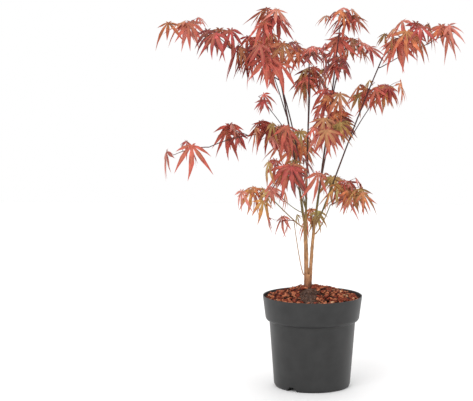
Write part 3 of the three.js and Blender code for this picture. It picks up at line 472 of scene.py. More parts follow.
def growFineLeaves(space, twigs, twigLines, leaves, draw):
    # Fine side twigs by turns to left and right of the mass's own, each kept if its leaf finds room
    fine = []
    share = fineTwig["backShare" if space["centre"][1] > fineTwig["back"] else "share"]
    for n in range(round(share * space["leaves"])):
        path, turn = twigs[n % len(twigs)]
        blade = space["blade"] * spread(draw, *fineTwig["sizes"])
        side = 1 if n % 2 else -1
        for _ in range(fineTwig["tries"]):
            root = curveThrough(path, fineTwig["from"] + fineTwig["span"] * next(draw))
            swing = side * fineTwig["turn"] + spread(draw, -1, 1) * fineTwig["turnJitter"]
            heading = turn + math.radians(swing)
            rise = math.radians(spread(draw, *fineTwig["rises"]))
            way = level(np.array(heading)) * math.cos(rise) + up * math.sin(rise)
            end = root + way * spread(draw, *fineTwig["lengths"])
            if not (keepsIn(space, end) and clearOfLimbs(root, end, twig["root"], space["limb"])):
                continue
            lines = [*twigLines, np.array([root, end])]
            grown = dealLeaf(space, end, heading, blade, draw, lines, leaves, fineTwig)
            if grown is not None:
                fine.append(np.array([root, (root + end) / 2 + up * fineTwig["arch"], end]))
                twigLines.append(lines[-1])
                leaves.append(grown)
                break
    return fine


def growMass(space):  # its stem and shoots, then leaves by turns at their nodes, then the fine ones
    draw = seeded(space["seed"])
    twigs = growTwigs(space, draw)
    twigLines = [pair for path, _ in twigs for pair in (path[:2], path[1:])]
    nodes = []
    for path, turn in twigs:
        end = path[2] + unit(path[1] - path[2]) * twig["sunk"]
        nodes += [(end, turn), (path[1], turn)]
    face = math.radians(space["face"])
    leaves = []
    for n in range(space["leaves"]):
        node, turn = nodes[n % len(nodes)]
        lean = math.atan2(math.sin(turn) + math.sin(face), math.cos(turn) + math.cos(face))
        blade = space["blade"] * spread(draw, *dealing["sizes"])
        grown = dealLeaf(space, node, lean, blade, draw, twigLines, leaves, dealing)
        if grown is not None:
            leaves.append(grown)
    planned = len(leaves)
    draw = seeded(space["seed"] + fineTwig["seedStep"])
    fine = growFineLeaves(space, twigs, twigLines, leaves, draw)
    paths = [path for path, _ in twigs]
    return {"twigs": paths, "fine": fine, "leaves": leaves, "planned": planned}


for row in foliageRows:
    row.update({key: np.array(row[key], float) for key in ("centre", "reach")})
growLimbs()
pieces = limbPieces()
masses = {row["name"]: growMass(row) for row in foliageRows}
print("grown:", sum(mass["planned"] for mass in masses.values()), "leaves as planned and",
      sum(len(mass["fine"]) for mass in masses.values()), "on finer twigs")


# Meshes and materials
def newMesh(name, points, faceSets, smooth=True, uv=None):  # a mesh from points and rows of corners
    mesh = bpy.data.meshes.new(name)
    corners = np.concatenate([np.ravel(faces) for faces in faceSets])
    used, corners = np.unique(corners, return_inverse=True)
    corners = corners.astype(np.int32)
    points = np.asarray(points, float).reshape(-1, 3)[used] * millimetre
    sizes = np.concatenate([np.full(len(faces), len(faces[0])) for faces in faceSets])
    starts = np.concatenate([[0], np.cumsum(sizes)[:-1]])
    mesh.vertices.add(len(points))
    mesh.vertices.foreach_set("co", points.ravel().astype(np.float32))
    mesh.loops.add(len(corners))
    mesh.loops.foreach_set("vertex_index", corners)
    mesh.polygons.add(len(sizes))
    mesh.polygons.foreach_set("loop_start", starts.astype(np.int32))
    mesh.polygons.foreach_set("use_smooth", np.full(len(sizes), smooth))
    if uv is not None:
        layer = mesh.uv_layers.new(name="UVMap")
        layer.data.foreach_set("uv", np.asarray(uv, np.float32)[used][corners].ravel())
    mesh.update(calc_edges=True)
    mesh.validate()
    return mesh


def ringMesh(name, points, smooth=True):
    # Closed shapes (shapes, rings, sides, 3): quads from ring to ring, and a cap at each end
    index = np.arange(points.size // 3).reshape(-1, *points.shape[-3:-1])
    near, far = index[:, :-1], index[:, 1:]
    quads = np.stack([near, np.roll(near, -1, 2), np.roll(far, -1, 2), far], -1).reshape(-1, 4)
    return newMesh(name, points, [quads, index[:, 0, ::-1], index[:, -1]], smooth)


def fullTurn(sides):  # angles of the corners of a ring
    return 2 * np.pi * np.arange(sides) / sides


def placed(name, data):  # a new object of some data in the scene
    thing = bpy.data.objects.new(name, data)
    bpy.context.scene.collection.objects.link(thing)
    return thing


def newPiece(name, mesh, material, nodes):  # a finished piece that stands in for these nodes
    piece = placed(name, mesh)
    mesh.materials.append(material)
    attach(piece, "root")
    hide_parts(*nodes)


def newMaterial(name, roughness, specular=0.5):  # a Principled material, and what adds its nodes
    material = bpy.data.materials.new(name)
    material.use_nodes = True
    nodes, links = material.node_tree.nodes, material.node_tree.links

    def add(kind, *values, **settings):  # inputs by number or name, each a value or a node's socket
        node = nodes["Principled BSDF"] if kind == "Shader" else nodes.new("ShaderNode" + kind)
        for key, value in [*enumerate(values), *settings.items()]:
            if isinstance(value, bpy.types.NodeSocket):
                links.new(value, node.inputs[key])
            elif isinstance(key, int) or key in node.inputs:
                node.inputs[key].default_value = value
            else:
                setattr(node, key, value)
        return node

    add("Shader", **{"Roughness": roughness, "Specular IOR Level": specular})
    return material, add


def linear(colour):  # scene-linear values of a colour given in 0..255
    shares = np.asarray(colour) / 255
    return np.where(shares <= 0.04045, shares / 12.92, ((shares + 0.055) / 1.055) ** 2.4)


def calculated(add, operation, *values):  # the result of one operation on values or sockets
    return add("Math", *values, operation=operation).outputs[0]


def noise(add, place, scale, detail):  # shares from 0 to 1 that vary smoothly from place to place
    return add("TexNoise", Vector=place, Scale=scale, Detail=detail).outputs["Fac"]


def ramp(add, factor, stops):  # colours at positions along a factor
    node = add("ValToRGB", Fac=factor)
    for k, (position, colour) in enumerate(stops):
        stop = node.color_ramp.elements[k] if k < 2 else node.color_ramp.elements.new(position)
        stop.position, stop.color = position, (*linear(colour), 1)
    return node.outputs["Color"]


def mask(add, factor, none, full):  # 0 at one value of a factor, rising to 1 at another
    return ramp(add, factor, sorted([(none, (0, 0, 0)), (full, (255, 255, 255))]))


def laidOver(add, under, colour, share):  # a plain colour over what is under it, by a share
    return add("MixRGB", Fac=share, Color1=under, Color2=(*linear(colour), 1)).outputs["Color"]


def paint(add, colour, height, distance, strength):  # base colour, and relief in millimetres
    bump = add("Bump", Height=height, Strength=strength, Distance=distance * millimetre)
    add("Shader", **{"Base Color": colour, "Normal": bump.outputs["Normal"]})


# Tubes along many paths at once
nearlyAlong = 0.9  # a path that runs this much along Y has its first side towards X


def transported(ways, across):  # frames carried along paths (n, stations, 3) without twist
    sides = np.empty_like(ways)
    for k in range(ways.shape[1]):
        across = unit(across - dot(across, ways[:, k])[:, None] * ways[:, k])
        sides[:, k] = across
    return sides, np.cross(ways, sides)


def tubeMesh(name, paths, radii, sides):
    # Closed tubes: ring points are path + r (cos a side + sin a third), with a cap at each end
    paths, radii = np.asarray(paths, float), np.asarray(radii, float)[..., None]
    ways = unit(np.gradient(paths, axis=1))
    front = np.where(np.abs(ways[:, 0, 1:2]) < nearlyAlong, [[0.0, -1.0, 0.0]], [[1.0, 0.0, 0.0]])
    across, third = transported(ways, front)
    turns = fullTurn(sides)
    steps = (radii * np.cos(turns), radii * np.sin(turns))
    axes = (across[:, :, None], third[:, :, None])
    return ringMesh(name, framed(paths[:, :, None], axes, steps))


# A leaf as it looks: more lobes, each a pair of strips beside its rib. The margin keeps to its own
# half of the angle between two ribs, which makes the web, and runs out to a long tip.
blade = {"angles": [-124, -80, -40, 0, 40, 80, 124], "rise": 1.7, "fall": 2, "halfWidth": 0.092,
         "lengths": [0.18, 0.64, 0.96, 1.1, 0.96, 0.64, 0.18], "web": 0.11, "outerWeb": 22,
         "stations": [0, 0.11, 0.32, 0.53, 0.77, 1], "fold": 0.42, "curl": 0.26, "uneven": 0.7,
         "hang": 0.34, "ragged": 0.16, "swing": 8, "roll": 24, "seed": 5}


def bladePoints(poses):
    # All leaves at once, (leaves, lobes, stations, side): s^a (1-s)^b is a lobe's half width at
    # share s beyond the web, which fills the angle between lobes. The rib curls down with the
    # square of the distance, in one lobe more than in the next, and side lobes hang down.
    random = np.random.default_rng(blade["seed"])
    angles, lengths = np.radians(blade["angles"]), np.array(blade["lengths"])
    shares = np.array(blade["stations"])
    count, lobes = len(poses["base"]), len(angles)
    peak = blade["rise"] / (blade["rise"] + blade["fall"])
    width = shares ** blade["rise"] * (1 - shares) ** blade["fall"]
    width *= blade["halfWidth"] / (peak ** blade["rise"] * (1 - peak) ** blade["fall"])
    middles = (angles[1:] + angles[:-1]) / 2
    outer = np.radians(blade["outerWeb"])
    left = np.concatenate([[outer], angles[1:] - middles])
    right = np.concatenate([middles - angles[:-1], [outer]])
    size = poses["blade"][:, None, None]

    def varied(*shape):  # a random share from -1 to 1 for each
        return random.uniform(-1, 1, (count, *shape))

    ragged = 1 + blade["ragged"] * varied(lobes, len(shares), 2)
    ragged[:, :, 1] = 1
    longer = 1 + blade["ragged"] * varied(lobes, 1)
    along = lengths[:, None] * longer * shares
    swing = np.radians(blade["swing"]) * varied(lobes, 1) * shares ** 2
    curl = blade["curl"] * (1 + blade["uneven"] * varied(lobes, 1))
    roll = np.radians(blade["roll"]) * varied(1)
    across = poses["side"] * np.cos(roll) + poses["top"] * np.sin(roll)
    top = poses["top"] * np.cos(roll) - poses["side"] * np.sin(roll)
    axes = [axis[:, None, None] for axis in (poses["point"], across, top)]
    columns = []
    for side, bound in ((-1, left), (0, 0 * left), (1, right)):
        most = along * np.tan(bound)[:, None]
        offset = width * np.sqrt(lengths)[:, None] * ragged[..., (side + 1) // 2]
        offset = np.where(shares <= blade["web"], most, np.minimum(offset, most))
        distance = np.hypot(along, offset)
        angle = angles[:, None] + swing + side * np.arctan2(offset, along)
        height = -blade["fold"] * offset - curl * along ** 2
        steps = (size * distance * np.cos(angle), size * distance * np.sin(angle), size * height)
        place = framed(poses["base"][:, None, None], axes, steps)
        hang = blade["hang"] * along ** 2 * np.abs(np.sin(angles))[:, None]
        columns.append(place - up * (size * hang)[..., None])
    return np.stack(columns, -2)


def bladeFaces(count):  # quads between stations and triangles at the ends, left and right of a rib
    lobes, stations = len(blade["angles"]), len(blade["stations"])
    index = np.arange(count * lobes * stations * 3).reshape(-1, stations, 3)
    near, far = index[:, 1:-2], index[:, 2:-1]
    quads, tips = [], []
    for left, right in ((0, 1), (1, 2)):
        corners = [near[..., left], far[..., left], far[..., right], near[..., right]]
        quads.append(np.stack(corners, -1).reshape(-1, 4))
        tips.append(np.stack([index[:, 0, 1], index[:, 1, left], index[:, 1, right]], -1))
        tips.append(np.stack([index[:, -2, left], index[:, -1, 1], index[:, -2, right]], -1))
    return [np.concatenate(quads), np.concatenate(tips)]


# The tints in plain colours, and what some of them turn to at the lobes' tips
tints = {"brick": (180, 80, 66), "purple": (128, 60, 60), "deep_red": (156, 58, 54),
         "rose": (198, 114, 100), "orange": (194, 112, 68), "russet": (168, 104, 70),
         "amber": (208, 154, 82), "bronze": (156, 124, 68), "olive": (166, 154, 88)}
tipTones = {"amber": (184, 90, 62), "bronze": (164, 80, 52), "olive": (170, 104, 64),
            "orange": (172, 68, 54), "russet": (158, 66, 54)}
tintSeed = 3

# How a tint is painted: stops of noise with a share of the tint and a tone added to it, whose
# darkest stop is partly painted shade and whose palest stop is partly a painted highlight, the
# bronze patches beside the rib, the way to the tip, the pale rib, and the veins' number and slant
leafLook = {"roughness": 0.5, "specular": 0.3, "mottle": (88.0, 3.0), "patches": (40.0, 1.0),
            # tones: the 0.62 stop is partly painted shade, the 1.15 + 32 stop partly a painted
            # highlight
            "tones": [(0.3, 0.62, 0), (0.45, 0.92, 0), (0.57, 1.05, 8), (0.7, 1.15, 32)],
            "heart": (140, 122, 74), "heartShare": 0.6, "inner": (0.42, 0.1), "patch": (0.44, 0.56),
            "turning": (0.3, 0.9), "rib": (0.11, 0.03), "ribShare": 0.84, "ribTone": (46, 34, 28),
            "veins": 9.0, "slant": 3.2, "relief": (0.3, 0.4)}


def leafMaterial(name, colour, tip):
    # Blade colour by noise in object space, real mottling whose darkest stop is partly painted
    # shade and whose palest stop is partly a painted highlight, bronze in patches beside the rib
    # and turning to the tip's, a pale rib where the side share is near the middle, and relief sin(2
    # pi (veins along - slant away))
    material, add = newMaterial(name, leafLook["roughness"], leafLook["specular"])
    place = add("TexCoord").outputs
    parts = add("SeparateXYZ", Vector=place["UV"]).outputs
    away = calculated(add, "ABSOLUTE", calculated(add, "SUBTRACT", parts["X"], 0.5))
    colour, heart = np.array(colour, float), np.array(leafLook["heart"])
    stops = [(at, colour * share + more) for at, share, more in leafLook["tones"]]
    # mottled tint: the darkest stop is partly painted shade, the palest partly a painted highlight
    tone = ramp(add, noise(add, place["Object"], *leafLook["mottle"]), stops)
    inner = mask(add, away, *leafLook["inner"])
    patch = mask(add, noise(add, place["Object"], *leafLook["patches"]), *leafLook["patch"])
    heart = colour * (1 - leafLook["heartShare"]) + heart * leafLook["heartShare"]
    tone = laidOver(add, tone, heart, calculated(add, "MULTIPLY", inner, patch))
    tone = laidOver(add, tone, tip, mask(add, parts["Y"], *leafLook["turning"]))
    pale = colour * leafLook["ribShare"] + leafLook["ribTone"]
    tone = laidOver(add, tone, pale, mask(add, away, *leafLook["rib"]))
    slant = calculated(add, "SUBTRACT",
                       calculated(add, "MULTIPLY", parts["Y"], leafLook["veins"]),
                       calculated(add, "MULTIPLY", away, leafLook["slant"]))
    wave = calculated(add, "SINE", calculated(add, "MULTIPLY", slant, 2 * math.pi))
    paint(add, tone, wave, *leafLook["relief"])
    return material


def joined(leaves, key):  # one array of a key of many leaves
    return np.array([each[key] for each in leaves])


dealt = {name: [] for name in tints}
tintRandom = np.random.default_rng(tintSeed)
for row in foliageRows:
    palette, grown = row["tints"].split(), masses[row["name"]]["leaves"]
    for k, each in zip(tintRandom.permutation(len(grown)), grown):
        dealt[palette[k % len(palette)]].append((row["name"], each))
for tint, rows in dealt.items():
    poses = {key: joined([each for _, each in rows], key)
             for key in ("base", "point", "side", "top", "blade")}
    points = bladePoints(poses)
    across, along = np.meshgrid([0, 0.5, 1], blade["stations"])
    uv = np.broadcast_to(np.stack([across, along], -1), (*points.shape[:-1], 2)).reshape(-1, 2)
    mesh = newMesh("leaves_" + tint, points, bladeFaces(len(rows)), uv=uv)
    material = leafMaterial("leaf_" + tint, tints[tint], tipTones.get(tint, tints[tint]))
    newPiece("leaves_" + tint, mesh, material, sorted({name for name, _ in rows}))
print("leaves:", len(tints), "tints")


def applied(mesh, steps):  # a mesh after its modifiers: kind, settings and a mesh to work with
    base = placed("base", mesh)
    helpers = []
    for kind, settings, other in steps:
        modifier = base.modifiers.new(kind.lower(), kind)
        for key, value in settings.items():
            setattr(modifier, key, value)
        if other is not None:
            modifier.object = placed("helper", other)
            helpers.append(modifier.object)
    graph = bpy.context.evaluated_depsgraph_get()
    result = bpy.data.meshes.new_from_object(base.evaluated_get(graph), depsgraph=graph)
    for thing in (base, *helpers):
        bpy.data.objects.remove(thing)
    return result


waveLengths = (0.6, 1.8)  # the least and the most of the waves' lengths, as shares of the given one


def wavy(points, count, wavelength, seed):  # smooth noise: a mean of seeded sines of some lengths
    random = np.random.default_rng(seed)
    lengths = wavelength * random.uniform(*waveLengths, (count, 1))
    ways = unit(random.normal(size=(count, 3))) * 2 * np.pi / lengths
    phases = random.uniform(0, 2 * np.pi, count)
    waves = [np.sin(dot(points, way) + phase) for way, phase in zip(ways, phases)]
    return sum(waves) / math.sqrt(count / 2)


# Limbs, twigs and stalks: how many sides and stations, the radii at foot and end, the share of a
# limb that is drawn into its parent, and its knots in millimetres
stemLook = {"sides": 12, "stations": 48, "joint": 0.15, "knots": 0.16, "knotWidth": 1.56,
            "knotEvery": 26, "knotShift": 0.2}
twigLook = {"sides": 8, "stations": 10, "radii": (0.95, 0.6), "fineRadii": (0.5, 0.42)}
stalkLook = {"sides": 5, "stations": 5, "radii": (0.5, 0.36), "sag": 0.06}

# Bark by height in metres: tan below, olive above the forks, purple-brown on the thin stems
barks = {
    "bark": {"roughness": 0.62, "grain": 260.0, "stops": [
        (0.188, (112, 62, 46)), (0.214, (196, 144, 104)), (0.295, (190, 144, 98)),
        (0.345, (128, 114, 68)), (0.40, (92, 60, 50)), (0.56, (70, 42, 44)), (0.70, (92, 46, 46))]},
    "twig_bark": {"roughness": 0.55, "grain": 200.0,
                  "stops": [(0.2, (118, 58, 48)), (0.7, (98, 44, 42))]},
    "stalk": {"roughness": 0.5, "grain": 120.0,
              "stops": [(0.2, (160, 62, 56)), (0.7, (158, 50, 54))]},
}
grainLook = {"specular": 0.2, "stretch": (1.0, 1.0, 0.3), "detail": 4.0, "wander": 0.03,
             "streaks": [(0.35, (150, 150, 150)), (0.65, (255, 255, 255))], "streakShare": 0.75,
             "relief": (0.4, 0.5)}


def barkMaterial(name):
    # Tone by height, moved up and down by a noise that is drawn out along the stems, and streaks
    # and fine relief from the same noise
    look = barks[name]
    material, add = newMaterial(name, look["roughness"], grainLook["specular"])
    place = add("TexCoord").outputs["Object"]
    drawn = add("Mapping", Vector=place, Scale=grainLook["stretch"]).outputs["Vector"]
    grain = noise(add, drawn, look["grain"], grainLook["detail"])
    wander = calculated(add, "MULTIPLY_ADD", grain, grainLook["wander"], -grainLook["wander"] / 2)
    height = add("SeparateXYZ", Vector=place).outputs["Z"]
    tone = ramp(add, calculated(add, "ADD", height, wander), look["stops"])
    streaked = add("MixRGB", blend_type="MULTIPLY", Fac=grainLook["streakShare"], Color1=tone,
                   Color2=ramp(add, grain, grainLook["streaks"]))
    paint(add, streaked.outputs["Color"], grain, *grainLook["relief"])
    return material


def limbPath(name, stations):  # the limb's own curve, begun inside its parent
    shares = np.linspace(0, 1, stations)
    path = curvePoints(limbs[name]["corners"], shares)
    row = named(limbRows, name)
    if row is None:
        return path
    centre = curvePoints(limbs[row["from"]]["corners"], row["at"])
    fade = np.clip(1 - shares / stemLook["joint"], 0, 1) ** 2
    return path + (centre - path[0]) * fade[:, None]


def limbRadii(name, stations, seed):  # taper, swollen at knots by exp(-(distance / width)^2)
    limb, shares = limbs[name], np.linspace(0, 1, stations)
    length = np.linalg.norm(np.diff(limb["points"], axis=0), axis=1).sum()
    random = np.random.default_rng(seed)
    knots = max(int(length / stemLook["knotEvery"]), 2)
    shift = random.uniform(-stemLook["knotShift"], stemLook["knotShift"], knots - 1)
    at = (np.arange(1, knots) + shift) / knots
    width = stemLook["knotWidth"] / length
    swell = stemLook["knots"] * np.exp(-((shares[:, None] - at) / width) ** 2).sum(1)
    return tapered(limb["radii"], shares) * (1 + swell)


def newTubes(name, paths, radii, look, bark, nodes):  # a piece of many tubes in one bark
    newPiece(name, tubeMesh(name, paths, radii, look["sides"]), bark, nodes)


barkLook = barkMaterial("bark")
stemNames = [row["name"] for row in limbRows]
paths = [limbPath(name, stemLook["stations"]) for name in stemNames]
radii = [limbRadii(name, stemLook["stations"], k) for k, name in enumerate(stemNames)]
newTubes("limbs", paths, radii, stemLook, barkLook, stemNames)

massNames = list(masses)
shares = np.linspace(0, 1, twigLook["stations"])
paths, radii = [], []
for kind, ends in (("twigs", "radii"), ("fine", "fineRadii")):
    for mass in masses.values():
        paths += [curveThrough(path, shares) for path in mass[kind]]
        radii += [np.linspace(*twigLook[ends], len(shares))] * len(mass[kind])
newTubes("twigs", paths, radii, twigLook, barkMaterial("twig_bark"), massNames)

# Leaf stalks, from the twig to the blade, sagging a little: up by 4 sag s (1 - s) of their length
grownLeaves = [grown for mass in masses.values() for grown in mass["leaves"]]
starts, ends = joined(grownLeaves, "node"), joined(grownLeaves, "base")
shares = np.linspace(0, 1, stalkLook["stations"])[:, None]
lengths = np.linalg.norm(ends - starts, axis=1)[:, None, None]
paths = (starts[:, None] + (ends - starts)[:, None] * shares
         + up * stalkLook["sag"] * 4 * (shares * (1 - shares)) * lengths)
radii = [np.linspace(*stalkLook["radii"], len(shares))] * len(paths)
newTubes("stalks", paths, radii, stalkLook, barkMaterial("stalk"), massNames)
print("limbs, twigs and stalks done")

# The trunk: two leaders, a flare at the soil that swells at the roots, and the first stations of
# the limbs, with their radii eased by firstRadii. Ridges and lumps on its skin are given by height,
# number of waves, wavelength and seed.
trunkLook = {"foot": (-8.5, 12, 183), "radius": 9.6, "neck": 6.2, "height": 30, "narrowing": 4,
             "roots": 5, "swell": 0.16, "turn": 0.6, "sides": 64, "rings": 40, "leaderSides": 40,
             "leaderStations": 60, "limbStations": 180, "firstRadii": (1.12, 0.9), "voxel": 0.5,
             "smoothing": {"factor": 0.5, "iterations": 4}, "ridge": (0.12, 18, 3.2, 31),
             "ridgeStretch": 0.22, "lump": (0.1, 18, 6, 32), "fadeTop": 330, "fadeLength": 60,
             "fadeLeast": 0.15}
trunkLimbs = ("stem_left", "stem_centre", "stem_right", "bough_low_left", "bough_low_right",
              "bough_trunk_left", "bough_trunk_back")


def turned(radius, height, sides):  # rings of points round the Z axis; radii may vary with the turn
    turn = fullTurn(sides)
    return np.stack([radius * np.cos(turn), radius * np.sin(turn), height + 0 * turn], -1)


def flareMesh():  # rings whose radius narrows as (1 - rise)^4, swollen at the roots
    rise = np.linspace(0, 1, trunkLook["rings"])[:, None]
    narrowing = (1 - rise) ** trunkLook["narrowing"]
    radius = trunkLook["neck"] + (trunkLook["radius"] - trunkLook["neck"]) * narrowing
    waves = np.cos(trunkLook["roots"] * fullTurn(trunkLook["sides"]) + trunkLook["turn"])
    radius = radius * (1 + trunkLook["swell"] * narrowing * waves)
    points = turned(radius, rise * trunkLook["height"], trunkLook["sides"])
    return ringMesh("flare", points + trunkLook["foot"])


def trunkMesh():
    # Leaders, flare and the first parts of the limbs fused by a voxel skin, smoothed, and pushed
    # along their normals by long ridges and small lumps, less so towards the top
    stations, whole = trunkLook["leaderStations"], trunkLook["limbStations"]
    leaders = [row["name"] for row in leaderRows]
    paths = [limbPath(name, stations) for name in leaders]
    radii = [np.linspace(*limbs[name]["radii"], stations) for name in leaders]
    for name in trunkLimbs:
        paths.append(limbPath(name, whole)[:stations])
        radii.append(limbRadii(name, whole, stemNames.index(name))[:stations]
                     * np.linspace(*trunkLook["firstRadii"], stations))
    tubes = tubeMesh("leaders", paths, radii, trunkLook["leaderSides"])
    voxel = trunkLook["voxel"] * millimetre
    rough = applied(tubes, [
        ("BOOLEAN", {"operation": "UNION", "solver": "EXACT", "use_self": True}, flareMesh()),
        ("REMESH", {"mode": "VOXEL", "voxel_size": voxel, "use_smooth_shade": True}, None),
        ("SMOOTH", trunkLook["smoothing"], None)])
    points, normals = np.empty((2, len(rough.vertices) * 3), np.float32)
    rough.vertices.foreach_get("co", points)
    rough.vertices.foreach_get("normal", normals)
    points, normals = points.reshape(-1, 3) / millimetre, normals.reshape(-1, 3)
    (ridge, *ridgeWaves), (lump, *lumpWaves) = trunkLook["ridge"], trunkLook["lump"]
    relief = (ridge * wavy(points * [1, 1, trunkLook["ridgeStretch"]], *ridgeWaves)
              + lump * wavy(points, *lumpWaves))
    fade = np.clip((trunkLook["fadeTop"] - points[:, 2]) / trunkLook["fadeLength"],
                   trunkLook["fadeLeast"], 1)
    points = (points + normals * (relief * fade)[:, None]) * millimetre
    rough.vertices.foreach_set("co", points.astype(np.float32).ravel())
    rough.update()
    return rough


newPiece("trunk_bark", trunkMesh(), barkLook, ["trunk"])
print("trunk done")


# The pot, its drainage channels and what fills it
def turnedMesh(name, outline, sides, lump=None):
    # An outline of (radius, height) turned about the Z axis, its points moved by a lump function
    outline = np.array(outline, float)
    points = turned(outline[:, :1], outline[:, 1:], sides)
    return ringMesh(name, points if lump is None else points + lump(points))


def rounded(outline, radius, most, steps):  # corners eased by short quadratic curves
    outline = np.array(outline, float)
    result = [outline[:1]]
    for before, corner, after in zip(outline[:-2], outline[1:-1], outline[2:]):
        cuts = [corner + (other - corner) * min(radius / np.linalg.norm(other - corner), most)
                for other in (before, after)]
        result.append(curvePoints([cuts[0], corner, cuts[1]], np.linspace(0, 1, steps)))
    return np.concatenate([*result, outline[-1:]])


potLook = {"outline": [(0.5, 0), (70.5, 0), (73.1, 5), (82.2, 126), (87.8, 129), (89.6, 132.5),
                       (95, 175), (93.1, 175), (87.7, 132.5), (80.3, 126), (71.2, 5), (68.6, 2.5),
                       (0.5, 2.5)],
           "edge": (1.2, 0.45, 5), "sides": 192, "sharp": 40, "roughness": 0.42,
           "specular": 0.35, "tones": [(0.3, (38, 38, 38)), (0.7, (47, 47, 47))],
           "mottle": (40.0, 3.0), "grain": (900.0, 2.0), "relief": (0.08, 0.3)}
channel = {"angles": (-122, -2, 118), "foot": 22, "top": 10, "height": 8.5, "below": -5,
           "shoulder": 0.9, "inner": 46, "outer": 95, "roof": 1.9, "roofBelow": 0.8,
           "roofOuter": 70.5, "hole": 4.5, "holeAt": 56, "holeSides": 32, "holeReach": 15}


def channelBars(name, grow, low, outer):  # three bars along the channels, each a flat-topped ridge
    half, halfTop = channel["foot"] / 2 + grow, channel["top"] / 2 + grow
    top, shoulder = channel["height"] + grow, channel["shoulder"]
    ridge = np.array([(-half, low), (half, low), (half, shoulder), (halfTop, top), (-halfTop, top),
                      (-half, shoulder)])
    outward = level(np.radians(channel["angles"]))[:, None, None]
    sideways = np.cross(up, outward)
    reach = np.array([channel["inner"] - grow, outer])[:, None, None]
    points = outward * reach + sideways * ridge[:, :1] + up * ridge[:, 1:]
    return ringMesh(name, points, smooth=False)


def drainHoles():  # three upright round bars
    middle = channel["holeAt"] * level(np.radians(channel["angles"]))[:, None, None]
    ring = channel["hole"] * level(fullTurn(channel["holeSides"]))
    heights = np.array([-channel["holeReach"], channel["holeReach"]])[:, None, None]
    return ringMesh("drain_holes", middle + ring + up * heights, smooth=False)


def potMaterial():  # grey plastic, a little mottled, with a fine grain
    material, add = newMaterial("pot_plastic", potLook["roughness"], potLook["specular"])
    place = add("TexCoord").outputs["Object"]
    paint(add, ramp(add, noise(add, place, *potLook["mottle"]), potLook["tones"]),
          noise(add, place, *potLook["grain"]), *potLook["relief"])
    return material


def cut(operation, other):  # one step of applied: a boolean with another mesh
    return "BOOLEAN", {"operation": operation, "solver": "EXACT"}, other


outline = rounded(potLook["outline"], *potLook["edge"])
potMesh = applied(turnedMesh("pot_shell", outline, potLook["sides"]), [
    cut("UNION", channelBars("roofs", channel["roof"], channel["roofBelow"], channel["roofOuter"])),
    cut("DIFFERENCE", channelBars("channels", 0, channel["below"], channel["outer"])),
    cut("DIFFERENCE", drainHoles())])
potMesh.set_sharp_from_angle(angle=math.radians(potLook["sharp"]))
newPiece("pot_shell", potMesh, potMaterial(), ["pot"])
print("pot done:", len(potMesh.polygons), "faces")

# The heap of compost, and the root ball that shows in front of the trunk: an ellipse on the heap
# that rises by exp(-fall share^2). The skin above "skinFrom" is lumpy, except at its rim.
heap = {"outline": [(0.5, 186.5), (27, 185.8), (38, 183.5), (50, 178.5), (90.6, 165.5)],
        "rootBall": (-7, -44), "rootReach": (21, 47), "rootHeight": 5.0, "fall": 2.2,
        "lump": 1.1, "waves": (26, 6, 21), "skinFrom": 150, "rim": 90, "sides": 220,
        "body": [(0.5, 11.2), (68, 11.2), (71, 20), (79.5, 126), (86.5, 134), (90.4, 160)],
        "skin": (90.6, 0.5, 110), "skinHeight": 170, "tones": ((48, 33, 26), (86, 60, 46)),
        "grain": 240.0}
soilLook = {"roughness": 0.95, "specular": 0.2, "detail": 6.0, "stops": (0.36, 0.62),
            "relief": (1.0, 0.7)}


def ballShare(x, y):  # how far out a place lies in the root ball's ellipse: 1 at its edge
    (middleX, middleY), (reachX, reachY) = heap["rootBall"], heap["rootReach"]
    return np.hypot((x - middleX) / reachX, (y - middleY) / reachY)


def heapHeight(x, y):  # height of the heap's surface with the root ball's rise
    radii, heights = np.array(heap["outline"]).T
    return (np.interp(np.hypot(x, y), radii, heights)
            + heap["rootHeight"] * np.exp(-heap["fall"] * ballShare(x, y) ** 2))


def heapLump(points):  # moves the heap's upper skin onto its height, with lumps
    x, y, z = np.moveaxis(points, -1, 0)
    goal = heapHeight(x, y) + heap["lump"] * wavy(points, *heap["waves"])
    skin = (z > heap["skinFrom"]) & (np.hypot(x, y) <= heap["rim"])
    return up * np.where(skin, goal - z, 0)[..., None]


def soilMaterial(name, tones, grain):  # two tones and rough relief from one noise
    material, add = newMaterial(name, soilLook["roughness"], soilLook["specular"])
    crumbs = noise(add, add("TexCoord").outputs["Object"], grain, soilLook["detail"])
    tone = ramp(add, crumbs, zip(soilLook["stops"], tones))
    paint(add, tone, crumbs, *soilLook["relief"])
    return material


skin = [(radius, heap["skinHeight"]) for radius in np.linspace(*heap["skin"])]
newPiece("compost_heap", turnedMesh("compost_heap", heap["body"] + skin, heap["sides"], heapLump),
         soilMaterial("compost_soil", heap["tones"], heap["grain"]), ["compost"])

# The bark on the heap: sizes as shares of a chip's length, tilt in degrees, size and height of each
# tier, the bare root ball and trunk, and the room inside the pot's wall by height
chips = {"count": 1250, "length": (5, 13), "width": (0.4, 0.72), "thickness": (0.13, 0.28),
         "ragged": 0.2, "uneven": 0.3, "tilt": 20.4, "lift": (0.2, 4), "inner": 8, "outer": 86,
         "corners": 7, "tiers": ((0.8, -0.5), (1.0, -0.1), (0.82, 0.5)), "bareBall": (0.66, 1.15),
         "trunk": (-8.5, 12), "bareTrunk": 11, "wallHeights": (132.5, 175),
         "wallRadii": (86.5, 92.2), "sharp": 45, "shades": (0.72, 1.12), "grain": 300.0, "seed": 22}
chipKinds = {"chips_red": ((130, 60, 42), 0.42), "chips_tan": ((178, 108, 76), 0.3),
             "chips_dark": ((66, 34, 28), 0.25), "chips_pale": ((206, 164, 126), 0.03)}


